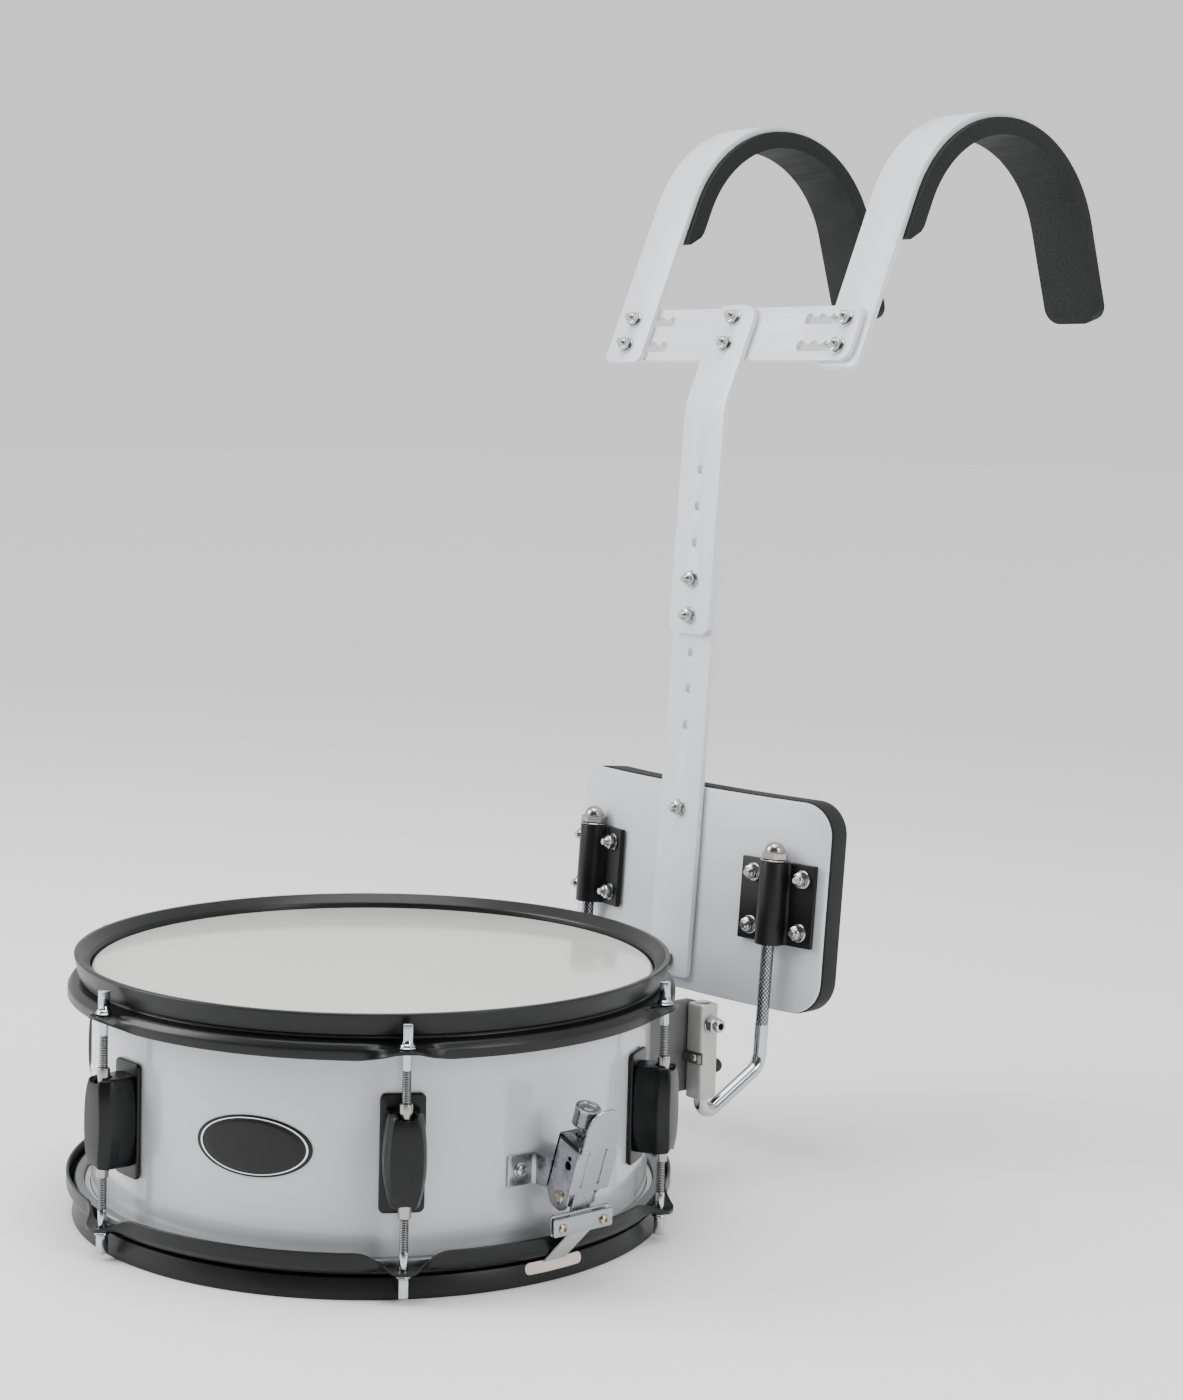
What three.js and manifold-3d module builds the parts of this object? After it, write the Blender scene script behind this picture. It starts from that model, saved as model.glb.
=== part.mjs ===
// Marching snare drum on its shoulder carrier.
// Millimetres, +Z up. The drum stands on its bottom hoop with its axis on Z.
// The player stands on the +Y side, with the strainer on +X and the butt on -X.
import * as THREE from 'three';
import { mergeVertices } from 'three/addons/utils/BufferGeometryUtils.js';
import Module from 'manifold-3d';

const wasm = await Module();
wasm.setup();

const DEGREE = Math.PI / 180;

// Clearances shared by all pieces
const GAP = 0.3;             // air between two pieces that seat on one another
const OVERRUN = 2;           // how far a cutter runs past the face that it opens
const BITE = 0.4;            // how deep two features of one casting run into each other
const WELD = 0.0005;         // vertices closer than this are one
const MITRE_SHARE = 0.5;     // sharpest corner that a bent sheet is mitred for
const CURVE_SHARES = [0, 1 / 3, 2 / 3, 1];   // places along a short curve

// Drum as a whole
const DRUM_HEIGHT = 165.6;   // from the lip of one hoop to the lip of the other
const LUG_COUNT = 6;
const ROUND_STEPS = 48;

// Shell
const SHELL_RADIUS = 176.5;
const SHELL_WALL = 7;
const BEARING_ROUND = 1.9;   // outer roundover of the bearing edge
const SNARE_BED_DEPTH = 2;
const SNARE_BED_HALF_ANGLE = 20 * DEGREE;

// Heads and their flesh hoops
const HEAD_RECESS = 8.2;     // film below the lip of its hoop
const HEAD_FILM = 0.5;
const HEAD_COLLAR = 11.7;    // height of the film's turned down collar
const HEAD_FLANGE = 2.6;     // reach of the film's edge into its flesh hoop
const FLESH_HOOP_WIDTH = 6.6;
const FLESH_HOOP_HEIGHT = 8;
const FLESH_HOOP_BEVEL = 1;

// Rims: one bent sheet, from the lip down to a ledge on the flesh hoop and out to ears or skirt
const RIM_WALL = 2;
const RIM_LIP_LAND = 3.4;
const RIM_LIP_HEIGHT = 2.2;
const RIM_LIP_REACH = 8;     // lip beyond the collar's outer face
const RIM_NECK = 1.5;
const RIM_NECK_DEPTH = 5.5;
const RIM_LEDGE_DEPTH = 15.4;
const RIM_SKIRT_REACH = 11.5;
const RIM_SKIRT_DEPTH = 26;
const RIM_SKIRT_BEND = 1.8;
const RIM_EAR_DEPTH = 18.1;
const RIM_EAR_REACH = 22.5;
const RIM_EAR_HALF_ANGLE = 1.8 * DEGREE;
const RIM_EAR_BLEND_ANGLE = 6.6 * DEGREE;
const RIM_SECTOR_SHARES = [0, 0.03, 0.11, 0.2, 0.35, 0.5, 0.65, 0.8, 0.89, 0.97];
const RIM_CLEARANCE = 1;     // between the film's collar and the rim's

// Tension rods
const ROD_STANDOFF = 18.2;    // rod axis beyond the shell
const ROD_SIDES = 8;
const ROD_RADIUS = 2.7;
const ROD_HOLE_RADIUS = 3.4;
const ROD_WASHER_RADIUS = 5.2;
const ROD_WASHER_HEIGHT = 1.2;
const ROD_COLLAR_HEIGHT = 2.4;
const ROD_HEAD_WIDTH = 5.5;
const ROD_HEAD_HEIGHT = 10.6;
const ROD_ENGAGEMENT = 19.1; // how far the screw reaches into its lug

// Lugs
const LUG_PLATE_WIDTH = 26.5;
const LUG_PLATE_HEIGHT = 70;
const LUG_PLATE_THICKNESS = 2.5;
const LUG_PLATE_CORNER = 4;
const LUG_BODY_HEIGHT = 54.4;
const LUG_BODY_DEPTH = 23.2;   // front face beyond the plate
const LUG_BODY_BASE_WIDTH = 25;
const LUG_BODY_FRONT_WIDTH = 18;
const LUG_CHEEK_DEPTH = 9;     // straight side before the body tapers to its front
const LUG_NUT_RADIUS = 3.8;
const LUG_NUT_HEIGHT = 5.9;    // above the end of the body
const LUG_BORE_RADIUS = 3.15;
const LUG_BORE_DEPTH = 20;
// Each ring of the body: height, widths and depth, as shares of the middle ring's
const LUG_RING_SHARES = [
  { up: 1, base: 0.72, front: 0.62, depth: 0.84 },
  { up: 0.78, base: 0.8, front: 0.74, depth: 1 },
  { up: 0, base: 1, front: 1, depth: 1 },
];

// Badge and vent
const BADGE_HALF_WIDTH = 34;
const BADGE_HALF_HEIGHT = 18;
const BADGE_THICKNESS = 0.9;
const BADGE_ANGLE = 30 * DEGREE;
const BADGE_STEPS = 20;
const BADGE_BACK_SHARES = [0.25, 0.62, 1];
const BADGE_FACE_SHARES = [0.97, 0.5];
const VENT_ANGLE = 322 * DEGREE;
const VENT_RADIUS = 4.5;
const VENT_TUBE_WALL = 1.2;
const VENT_FLANGE_RADIUS = 9;
const VENT_FLANGE_THICKNESS = 1.5;
const VENT_STEPS = 12;

// Strainer, placed at its pivot and leaned outwards; its sizes run out (x), across (y) and up (z) from there
const STRAINER_STANDOFF = 25.3;   // pivot beyond the shell
const STRAINER_PIVOT_HEIGHT = 54.8;
const STRAINER_LEAN = 18 * DEGREE;
const STRAINER_SHEET = 1.5;
const STRAINER_BASE_HALF_WIDTH = 11;
const STRAINER_BASE_BACK = 12.7;
const STRAINER_BASE_FRONT = 7;
const STRAINER_BASE_TOP = 36;
const STRAINER_BASE_FOOT = 8;
const STRAINER_PIN_RADIUS = 2;
const STRAINER_PIN_HEAD_RADIUS = 4;
const STRAINER_PIN_HEAD_HEIGHT = 1.6;
const KEYHOLE_RADIUS = 2.2;
const KEYHOLE_HEIGHT = 21.3;
const WING_LOW = 57.3;       // heights of the mounting wings on the drum
const WING_HIGH = 75.5;
const WING_END_ANGLE = 9.3 * DEGREE;
const WING_SCREW_ANGLE = 6.55 * DEGREE;
const WING_SCREW_RADIUS = 3.6;
const WING_SCREW_HEIGHT = 2;
const LEVER_FRONT = 11;
const LEVER_HALF_WIDTH = 15;
const LEVER_WAIST_HALF_WIDTH = 11.8;
const LEVER_TOP = 62.2;
const LEVER_BOTTOM = 8;
const LEVER_WIDEST = 30;
const LEVER_WAIST = 45;
const LEVER_EAR_OUTER = 9.2;
const LEVER_EAR_WALL = 1.4;
const LEVER_EAR_BACK = 3.5;
const LEVER_EAR_TOP = 24;
const LEVER_EAR_FOOT = 4;
const LEVER_RIB_WIDTH = 3;
const LEVER_RIB_HEIGHT = 1;
const LEVER_RIB_PLACE = 6;
const LINK_PIN_RADIUS = 1.5;
const LINK_PIN_OUT = 3.7;
const LINK_PIN_UP = 2.5;
const RELEASE_DROP = 6.2;
const CARRIAGE_SHEET = 1.4;
const CARRIAGE_BACK = 10.9;
const CARRIAGE_HALF_WIDTH = 7.2;
const CARRIAGE_TOP = 32;
const CARRIAGE_FOOT = 4;
const CARRIAGE_FRONT = 5.8;
const WINDOW_CLEARANCE = 0.4;
const KNOB_OUT = -6;
const KNOB_RADIUS = 8;
const KNOB_LOW = 43;
const KNOB_HIGH = 54.5;
const KNOB_FLUTES = 20;
const KNOB_FLUTE_DEPTH = 0.6;
const KNOB_SHAFT_RADIUS = 2.8;
const KNOB_COLLAR_RADIUS = 3.2;
const KNOB_COLLAR_HEIGHT = 1.7;
const KNOB_THREAD_RADIUS = 2;
const KNOB_THREAD_END = 10;
const CLAMP_NUT_LOW = 20;
const CLAMP_NUT_HIGH = 23;
const CLAMP_NUT_HALF_WIDTH = 5.4;
const CLAMP_STRIP_OUT = 7;
const CLAMP_STRIP_HALF_WIDTH = 7.4;
const CLAMP_SHEET = 1.6;
const CLAMP_HALF_WIDTH = 22;
const CLAMP_LOW = 34.7;
const CLAMP_HIGH = 47;
const CLAMP_COVER_HIGH = 45.3;
const CLAMP_SCREW_PLACE = 15.5;
const CLAMP_SCREW_UP = 39.1;
const CLAMP_SCREW_RADIUS = 1.5;
const CLAMP_SCREW_HEAD_RADIUS = 3;
const CLAMP_SCREW_HEAD_HEIGHT = 1.6;
const BUTT_ARM_HALF_WIDTH = 12;
const BUTT_PLATE_LOW = 52;
const BUTT_PLATE_HIGH = 80;

// Snares under the lower head
const SLOT_HALF_WIDTH = 21.5;
const SLOT_LOW = 4.8;
const SLOT_HIGH = 13.8;
const SLOT_CORNER = 4;
const STRAP_HALF_WIDTH = 8;
const STRAP_THICKNESS = 0.8;
const STRAP_LEVEL = 6.6;     // middle of the strap where it runs under the drum
const WIRES_CLEARANCE = 19.5; // from the snare bed's inner edge to the wires' end
const WIRE_COUNT = 20;
const WIRE_PITCH = 2;
const WIRE_RADIUS = 0.75;
const WIRE_SIDES = 4;
const WIRE_LEVEL = 6.5;
const WIRE_PLATE_LENGTH = 12;
const WIRE_PLATE_THICKNESS = 1.8;

// Receivers on the drum for the two hooks
const RECEIVER_PLACE = 94;   // left and right of the drum's axis
const RECEIVER_STANDOFF = 22.2;   // hook's axis beyond the shell
const RECEIVER_HEADROOM = 17.6;   // from the block's top to the skirt above it
const RECEIVER_BLOCK_HALF_WIDTH = 7.5;
const RECEIVER_BLOCK_HEIGHT = 64;
const RECEIVER_BLOCK_BEVEL = 2;
const RECEIVER_BORE = 5.15;
const WEB_THICKNESS = 5;
const WEB_RISE = 1;           // above the block's top
const WEB_HEIGHT = 61;
const WEB_REACH = 15.3;       // beyond the hook's axis
const WEB_CORNER = 10;
const WEB_FLANGE_WIDTH = 17;
const WEB_FLANGE_THICKNESS = 3;
const RECEIVER_BOLT_RADIUS = 2.5;
const RECEIVER_NUT_RADIUS = 5;
const RECEIVER_NUT_HEIGHT = 4.5;
const UPPER_BOLT_DROP = 13;   // below the block's top
const LOWER_BOLT_REACH = 11.9;
const LOWER_BOLT_DROP = 44;
const COTTER_DROP = 36;
const COTTER_HEIGHT = 7.5;
const COTTER_NEAR_REACH = 11.7;   // from the hook's axis towards the drum
const COTTER_FAR_REACH = 6.1;

// Hook rods
const HOOK_RADIUS = 4.8;
const HOOK_SIDES = 12;
const HOOK_TIP_DROP = 26;    // below the block's top
const HOOK_BEND_DROP = 79;
const HOOK_SLANT_RISE = 29;
const HOOK_CORNER = 14;
const HOOK_TIP_CORNER = 8;
const CAP_NUT_RADIUS = 9;
const CAP_NUT_HEX_HEIGHT = 6;
const CAP_NUT_HEIGHT = 13;
const CAP_NUT_SHOULDER_SHARE = 0.78;
const CAP_NUT_CROWN_SHARE = 0.4;

// Carrier, drawn upright about the belly plate's foot and then leaned towards the player
const CARRIER_LEAN = 0.0643;
const PLATE_STANDOFF = 77.9;   // foot of the plate beyond the shell
const PLATE_DROP = 13;         // foot of the plate below the receivers' tops
const PLATE_HEIGHT = 142.4;
const PLATE_CURVE_RADIUS = 479;
const PLATE_HALF_ANGLE = 0.268;
const PLATE_THICKNESS = 4;
const PLATE_CORNER = 22;
const PLATE_STEPS = 14;
const BELLY_PAD_THICKNESS = 15;
const BELLY_PAD_SHRINK = 3;
const BAR_WIDTH = 40;
const BAR_THICKNESS = 4;
const BAR_CORNER = 4;
const LOWER_BAR_LOW = 8.5;   // above the plate's foot
const LOWER_BAR_HIGH = 298;
const PLATE_BOLT_LOW = 19.5;
const PLATE_BOLT_HIGH = 126;
const UPPER_BAR_LOW = 248;
const UPPER_BAR_BEND = 406;
const UPPER_BAR_LENGTH = 76;   // above the bend
const UPPER_BAR_LEAN = 0.33;
const BAR_HOLE_PITCH = 25.5;
const BAR_HOLE_TOP = 362.5;
const BAR_HOLE_COUNT = 8;
const BAR_HOLE_HALF_WIDTH = 2.8;
const BAR_HOLE_HALF_HEIGHT = 3.4;
const JUNCTION_HOLES = [3, 4];
const BOLT_RADIUS = 3;
const BOLT_HEAD_RADIUS = 6.2;
const BOLT_HEAD_HEIGHT = 3.2;
const BOLT_TAIL = 4;
const BOLT_SIDES = 6;
const BOLT_CLEARANCE = 0.4;
const CROSS_HALF_WIDTH = 118;
const CROSS_HEIGHT = 40;
const CROSS_CORNER = 9;
const CROSS_ROW_GAP = 20;
const SLOT_START = 66;
const SLOT_END = 109;
const SLOT_HALF_HEIGHT = 3.4;
const SLOT_NOTCH_PITCH = 12;
const SLOT_NOTCH_RADIUS = 3.7;
const SLOT_NOTCH_RISE = 1.6;
const CROSS_ROW_BELOW_TOP = 10;
const SHOULDER_PLACE = 105;
const SHOULDER_WIDTH = 38;
const SHOULDER_FRONT_RUN = 96;   // straight front above the upper bolts
const SHOULDER_HANG = 33;        // below the upper bolts
const SHOULDER_CLIP = 6;
const SHOULDER_RADIUS = 100;
const SHOULDER_TURN = 2.442;
const SHOULDER_BACK_RUN = 70.2;
const SHOULDER_ARC_STEPS = 14;
const SHOULDER_PAD_WIDTH = 46;
const SHOULDER_PAD_THICKNESS = 12;
const SHOULDER_PAD_START = 60;   // along the bar from its upper bolts
// Section of a shoulder pad: shares of half its width across, and of its thickness out
const SHOULDER_PAD_SHARES = [
  [-0.96, 0], [0.96, 0], [1, 0.33], [0.94, 0.79],
  [0.4, 1], [-0.4, 1], [-0.94, 0.79], [-1, 0.33],
];
const CLAMP_BLOCK_WIDTH = 60;
const CLAMP_BLOCK_HEIGHT = 56;
const CLAMP_BLOCK_LOW = 45.5;
const CLAMP_FLANGE_THICKNESS = 3.5;
const CLAMP_CHANNEL_RADIUS = 7.5;
const CLAMP_ROD_OFFSET = 9.6;   // rod axis in front of the plate
const CLAMP_BOLT_PLACE = 20;
const CLAMP_BOLT_RISE = 18;

const WHITE = { color: 0xe9ebee, roughness: 0.42, metalness: 0.1 };
const BLACK_METAL = { color: 0x17181a, roughness: 0.38, metalness: 0.5 };
const GREY_METAL = { color: 0x85887f, roughness: 0.45, metalness: 0.9 };
const WHITE_SHELL = { color: 0xd3d5dd, roughness: 0.22, metalness: 0 };
const CHROME = { color: 0xc9ccd0, roughness: 0.16, metalness: 1 };
const HEAD_GREY = { color: 0xc9cbcf, roughness: 0.55, metalness: 0 };
const FOAM = { color: 0x1c1c1e, roughness: 0.92, metalness: 0 };
const WEBBING = { color: 0xa9aaac, roughness: 0.8, metalness: 0 };

// Values that follow from the sizes above
const MID = DRUM_HEIGHT / 2;
const SHELL_TOP = DRUM_HEIGHT - HEAD_RECESS - HEAD_FILM - GAP;
const SHELL_INNER = SHELL_RADIUS - SHELL_WALL;
const PLATE_SEAT = SHELL_RADIUS + GAP;
const FILM_INNER = SHELL_RADIUS + GAP;
const FILM_OUTER = FILM_INNER + HEAD_FILM;
const FLESH_INNER = FILM_INNER + HEAD_FLANGE + HEAD_FILM + GAP;
const RIM_INNER = FILM_OUTER + RIM_CLEARANCE;
const RIM_COLLAR = RIM_INNER + RIM_WALL;
const FLESH_TOP = RIM_LEDGE_DEPTH + RIM_WALL + GAP;
const EAR_TOP = DRUM_HEIGHT - RIM_EAR_DEPTH;
const ROD_CIRCLE = SHELL_RADIUS + ROD_STANDOFF;
const ROD_END = MID + LUG_BODY_HEIGHT / 2 + LUG_NUT_HEIGHT - ROD_ENGAGEMENT;
const STRAINER_PIVOT_RADIUS = SHELL_RADIUS + STRAINER_STANDOFF;
const CLAMP_DROP = STRAINER_PIVOT_HEIGHT - CLAMP_HIGH + BITE;
// Inner face of the strap clamp from the drum's axis, where the leaned strip comes down to it
const CLAMP_RADIUS = STRAINER_PIVOT_RADIUS + CARRIAGE_SHEET / 2
  + CLAMP_STRIP_OUT * Math.cos(STRAINER_LEAN) - CLAMP_DROP * Math.sin(STRAINER_LEAN);
const WIRES_REACH = SHELL_INNER - WIRES_CLEARANCE;
const HOOK_FAR = SHELL_RADIUS + RECEIVER_STANDOFF;
const RECEIVER_TOP = DRUM_HEIGHT - RIM_SKIRT_DEPTH - RECEIVER_HEADROOM;
const RECEIVER_LOW = RECEIVER_TOP - RECEIVER_BLOCK_HEIGHT;
const WEB_HIGH = RECEIVER_TOP + WEB_RISE;
const WEB_LOW = WEB_HIGH - WEB_HEIGHT;
const WEB_FAR = HOOK_FAR + WEB_REACH;
const UPPER_BOLT_UP = RECEIVER_TOP - UPPER_BOLT_DROP;
const LOWER_BOLT_UP = RECEIVER_TOP - LOWER_BOLT_DROP;
const LOWER_BOLT_FAR = HOOK_FAR + LOWER_BOLT_REACH;
const COTTER_UP = RECEIVER_TOP - COTTER_DROP;
const COTTER_FAR = HOOK_FAR - COTTER_FAR_REACH;
const PLATE_LOW = RECEIVER_TOP - PLATE_DROP;

// Mesh helpers

const AXIS_X = new THREE.Vector3(1, 0, 0);
const AXIS_Y = new THREE.Vector3(0, 1, 0);
const AXIS_Z = new THREE.Vector3(0, 0, 1);
const FACING = {
  x: new THREE.Matrix4().makeBasis(AXIS_Y, AXIS_Z, AXIS_X),
  y: new THREE.Matrix4().makeBasis(AXIS_X, AXIS_Z, AXIS_Y.clone().negate()),
  z: new THREE.Matrix4(),
};

// Merges shared corners and drops triangles that have shrunk to a line
function weld(geometry) {
  if (geometry.userData.welded) return geometry;
  const bare = geometry.clone();
  bare.deleteAttribute('normal');
  bare.deleteAttribute('uv');
  const merged = mergeVertices(bare, WELD);
  const index = merged.getIndex().array;
  const kept = [];
  for (let i = 0; i < index.length; i += 3) {
    const [a, b, c] = index.slice(i, i + 3);
    if (a !== b && b !== c && c !== a) kept.push(a, b, c);
  }
  merged.setIndex(kept);
  merged.userData = { welded: true };
  return merged;
}

// Turns every triangle round when the closed mesh encloses a negative volume
function outward(geometry) {
  const index = geometry.getIndex().array;
  const place = geometry.getAttribute('position');
  const corner = [0, 1, 2].map(() => new THREE.Vector3());
  let volume = 0;
  for (let i = 0; i < index.length; i += 3) {
    corner.forEach((point, k) => point.fromBufferAttribute(place, index[i + k]));
    volume += corner[0].dot(corner[1].clone().cross(corner[2]));
  }
  if (volume > 0) return geometry;
  const turned = [];
  for (let i = 0; i < index.length; i += 3) turned.push(index[i], index[i + 2], index[i + 1]);
  const flipped = geometry.clone();
  flipped.setIndex(turned);
  return flipped;
}

function toSolid(geometry) {
  const closed = outward(weld(geometry));
  return new wasm.Manifold(new wasm.Mesh({
    numProp: 3,
    vertProperties: new Float32Array(closed.getAttribute('position').array),
    triVerts: new Uint32Array(closed.getIndex().array),
  }));
}

function fromSolid(solid) {
  const mesh = solid.getMesh();
  const geometry = new THREE.BufferGeometry();
  geometry.setAttribute('position', new THREE.BufferAttribute(new Float32Array(mesh.vertProperties), 3));
  geometry.setIndex(new THREE.BufferAttribute(new Uint32Array(mesh.triVerts), 1));
  geometry.userData = { welded: true };
  return geometry;
}

function fuse(...pieces) {
  return fromSolid(pieces.map(toSolid).reduce((whole, piece) => whole.add(piece)));
}

function cut(piece, ...tools) {
  return fromSolid(tools.map(toSolid).reduce((whole, tool) => whole.subtract(tool), toSolid(piece)));
}

// Outline through corners of [across, up, fillet radius]
function outline(corners, steps = 3) {
  const points = [];
  corners.forEach(([x, y, radius = 0], i) => {
    const here = new THREE.Vector2(x, y);
    if (radius === 0) {
      points.push(here);
      return;
    }
    const [beforeX, beforeY] = corners.at(i - 1);
    const [afterX, afterY] = corners[(i + 1) % corners.length];
    const back = new THREE.Vector2(beforeX, beforeY).sub(here).normalize();
    const ahead = new THREE.Vector2(afterX, afterY).sub(here).normalize();
    const half = Math.acos(THREE.MathUtils.clamp(back.dot(ahead), -1, 1)) / 2;
    const centre = back.clone().add(ahead).normalize().multiplyScalar(radius / Math.sin(half)).add(here);
    const start = back.clone().multiplyScalar(radius / Math.tan(half)).add(here);
    const turn = (Math.PI - 2 * half) * -Math.sign(back.cross(ahead));
    for (let k = 0; k <= steps; k += 1) {
      points.push(start.clone().rotateAround(centre, turn * k / steps));
    }
  });
  return new THREE.Shape(points);
}

// Rectangle between two corners with one fillet radius
function rectangle(left, low, right, high, radius = 0, steps = 3) {
  return outline([
    [left, low, radius],
    [right, low, radius],
    [right, high, radius],
    [left, high, radius],
  ], steps);
}

function round(centreX, centreY, radius, steps = 12) {
  const points = [];
  for (let k = 0; k < steps; k += 1) {
    const angle = 2 * Math.PI * (k + 0.5) / steps;
    points.push(new THREE.Vector2(centreX + radius * Math.cos(angle), centreY + radius * Math.sin(angle)));
  }
  return new THREE.Shape(points);
}

// Flat sheet of an outline, filling low to high along an axis: x takes (y, z), y takes (x, z), z takes (x, y)
function slab(shape, axis, low, high, holes = []) {
  shape.holes = holes.map((hole) => new THREE.Path(hole.getPoints()));
  const geometry = new THREE.ExtrudeGeometry(shape, { depth: high - low, bevelEnabled: false });
  geometry.applyMatrix4(FACING[axis]);
  const shift = { x: [low, 0, 0], y: [0, high, 0], z: [0, 0, low] }[axis];
  return geometry.translate(...shift);
}

function box(from, to) {
  return slab(rectangle(from[0], from[1], to[0], to[1]), 'z', from[2], to[2]);
}

// Solid of revolution about Z from [radius, height] points; the first step points to -Y
function turned(profile, steps, closed = false) {
  const points = profile.map(([radius, height]) => new THREE.Vector2(radius, height));
  if (closed) points.push(points[0].clone());
  return new THREE.LatheGeometry(points, steps).rotateX(Math.PI / 2);
}

function rod(radius, low, high, steps = 10) {
  return turned([[0, low], [radius, low], [radius, high], [0, high]], steps);
}

// Skin over rings of equal numbers of points, closed by fans or as a loop
function loft(rings, loop = false) {
  const count = rings[0].length;
  const places = rings.flat().flatMap((point) => point.toArray());
  const index = [];
  const last = loop ? rings.length : rings.length - 1;
  for (let i = 0; i < last; i += 1) {
    const next = (i + 1) % rings.length;
    for (let k = 0; k < count; k += 1) {
      const m = (k + 1) % count;
      index.push(i * count + k, i * count + m, next * count + m);
      index.push(i * count + k, next * count + m, next * count + k);
    }
  }
  if (!loop) {
    const top = (rings.length - 1) * count;
    for (let k = 1; k < count - 1; k += 1) {
      index.push(0, k + 1, k);
      index.push(top, top + k, top + k + 1);
    }
  }
  const geometry = new THREE.BufferGeometry();
  geometry.setAttribute('position', new THREE.Float32BufferAttribute(places, 3));
  geometry.setIndex(index);
  return outward(geometry);
}

// Hexagon bolt along Z: the shank reaches down from the seat, with its nut's stub above the head
function bolt(radius, headRadius, headHeight, length, tail = 0) {
  const profile = [[0, -length], [radius, -length], [radius, 0], [headRadius, 0], [headRadius, headHeight]];
  if (tail > 0) profile.push([radius, headHeight], [radius, headHeight + tail], [0, headHeight + tail]);
  else profile.push([0, headHeight]);
  return turned(profile, BOLT_SIDES);
}

const assembly = new THREE.Group();

function add(name, geometry, finish, parent = assembly) {
  const closed = outward(weld(geometry));
  closed.computeVertexNormals();
  const mesh = new THREE.Mesh(closed, new THREE.MeshStandardMaterial(finish));
  mesh.name = name;
  parent.add(mesh);
  return mesh;
}

// The same shape turned over for the snare side, about the drum's middle height
function overturned(geometry) {
  return geometry.clone().scale(1, 1, -1).translate(0, 0, DRUM_HEIGHT);
}

function atAngle(geometry, angle) {
  return geometry.clone().rotateZ(angle);
}

// Shell with bearing edges, dipped at the snare beds

function shellGeometry() {
  const bevel = SHELL_WALL - BEARING_ROUND;
  const low = DRUM_HEIGHT - SHELL_TOP;
  const geometry = turned([
    [SHELL_INNER, low + bevel],
    [SHELL_RADIUS - BEARING_ROUND, low],
    [SHELL_RADIUS, low + BEARING_ROUND],
    [SHELL_RADIUS, SHELL_TOP - BEARING_ROUND],
    [SHELL_RADIUS - BEARING_ROUND, SHELL_TOP],
    [SHELL_INNER, SHELL_TOP - bevel],
  ], ROUND_STEPS, true);
  const place = geometry.getAttribute('position');
  for (let i = 0; i < place.count; i += 1) {
    const fromSide = Math.atan2(Math.abs(place.getY(i)), Math.abs(place.getX(i)));
    if (place.getZ(i) < MID && fromSide < SNARE_BED_HALF_ANGLE) {
      const share = (1 + Math.cos(Math.PI * fromSide / SNARE_BED_HALF_ANGLE)) / 2;
      place.setZ(i, place.getZ(i) + SNARE_BED_DEPTH * share);
    }
  }
  const vent = slab(round(0, MID, VENT_RADIUS + VENT_TUBE_WALL + GAP, VENT_STEPS), 'y',
    -SHELL_RADIUS - OVERRUN, -SHELL_INNER + OVERRUN);
  return cut(geometry, atAngle(vent, VENT_ANGLE));
}

function ventGeometry() {
  const out = PLATE_SEAT + VENT_FLANGE_THICKNESS;
  const tube = VENT_RADIUS + VENT_TUBE_WALL;
  const geometry = turned([
    [VENT_RADIUS, SHELL_INNER],
    [tube, SHELL_INNER],
    [tube, PLATE_SEAT],
    [VENT_FLANGE_RADIUS, PLATE_SEAT],
    [tube, out],
    [VENT_RADIUS, out],
  ], VENT_STEPS, true);
  return atAngle(geometry.rotateX(Math.PI / 2).translate(0, 0, MID), VENT_ANGLE);
}

// Domed oval plate, curved to the shell and left bare
function badgeGeometry() {
  const ring = (share, radius) => {
    const points = [];
    for (let k = 0; k < BADGE_STEPS; k += 1) {
      const angle = 2 * Math.PI * k / BADGE_STEPS;
      const around = share * BADGE_HALF_WIDTH * Math.cos(angle) / SHELL_RADIUS;
      const up = share * BADGE_HALF_HEIGHT * Math.sin(angle);
      points.push(new THREE.Vector3(radius * Math.sin(around), -radius * Math.cos(around), MID + up));
    }
    return points;
  };
  const back = BADGE_BACK_SHARES.map((share) => ring(share, PLATE_SEAT));
  const front = BADGE_FACE_SHARES.map((share) => ring(share, PLATE_SEAT + BADGE_THICKNESS));
  return atAngle(loft([...back, ...front]), BADGE_ANGLE);
}

// Heads

function headGeometry() {
  const top = DRUM_HEIGHT - HEAD_RECESS;
  const bend = BEARING_ROUND + HEAD_FILM;
  const foot = top - HEAD_COLLAR;
  const edge = FILM_OUTER + HEAD_FLANGE;
  const underBend = bend - HEAD_FILM / 2;
  return turned([
    [0, top],
    [FILM_OUTER - bend, top],
    [FILM_OUTER, top - bend],
    [FILM_OUTER, foot],
    [edge, foot],
    [edge, foot - HEAD_FILM],
    [FILM_INNER, foot - HEAD_FILM],
    [FILM_INNER, top - bend - HEAD_FILM / 2],
    [FILM_INNER - underBend, top - HEAD_FILM],
    [0, top - HEAD_FILM],
  ], ROUND_STEPS);
}

function fleshHoopGeometry() {
  const top = DRUM_HEIGHT - FLESH_TOP;
  const outer = FLESH_INNER + FLESH_HOOP_WIDTH;
  return turned([
    [FLESH_INNER, top],
    [outer - FLESH_HOOP_BEVEL, top],
    [outer, top - FLESH_HOOP_BEVEL],
    [outer, top - FLESH_HOOP_HEIGHT],
    [FLESH_INNER, top - FLESH_HOOP_HEIGHT],
  ], ROUND_STEPS, true);
}

// Rims

function rimAngles() {
  const sector = 2 * Math.PI / LUG_COUNT;
  const angles = [];
  for (let i = 0; i < LUG_COUNT; i += 1) {
    RIM_SECTOR_SHARES.forEach((share) => angles.push((i + share) * sector));
  }
  return angles;
}

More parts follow.
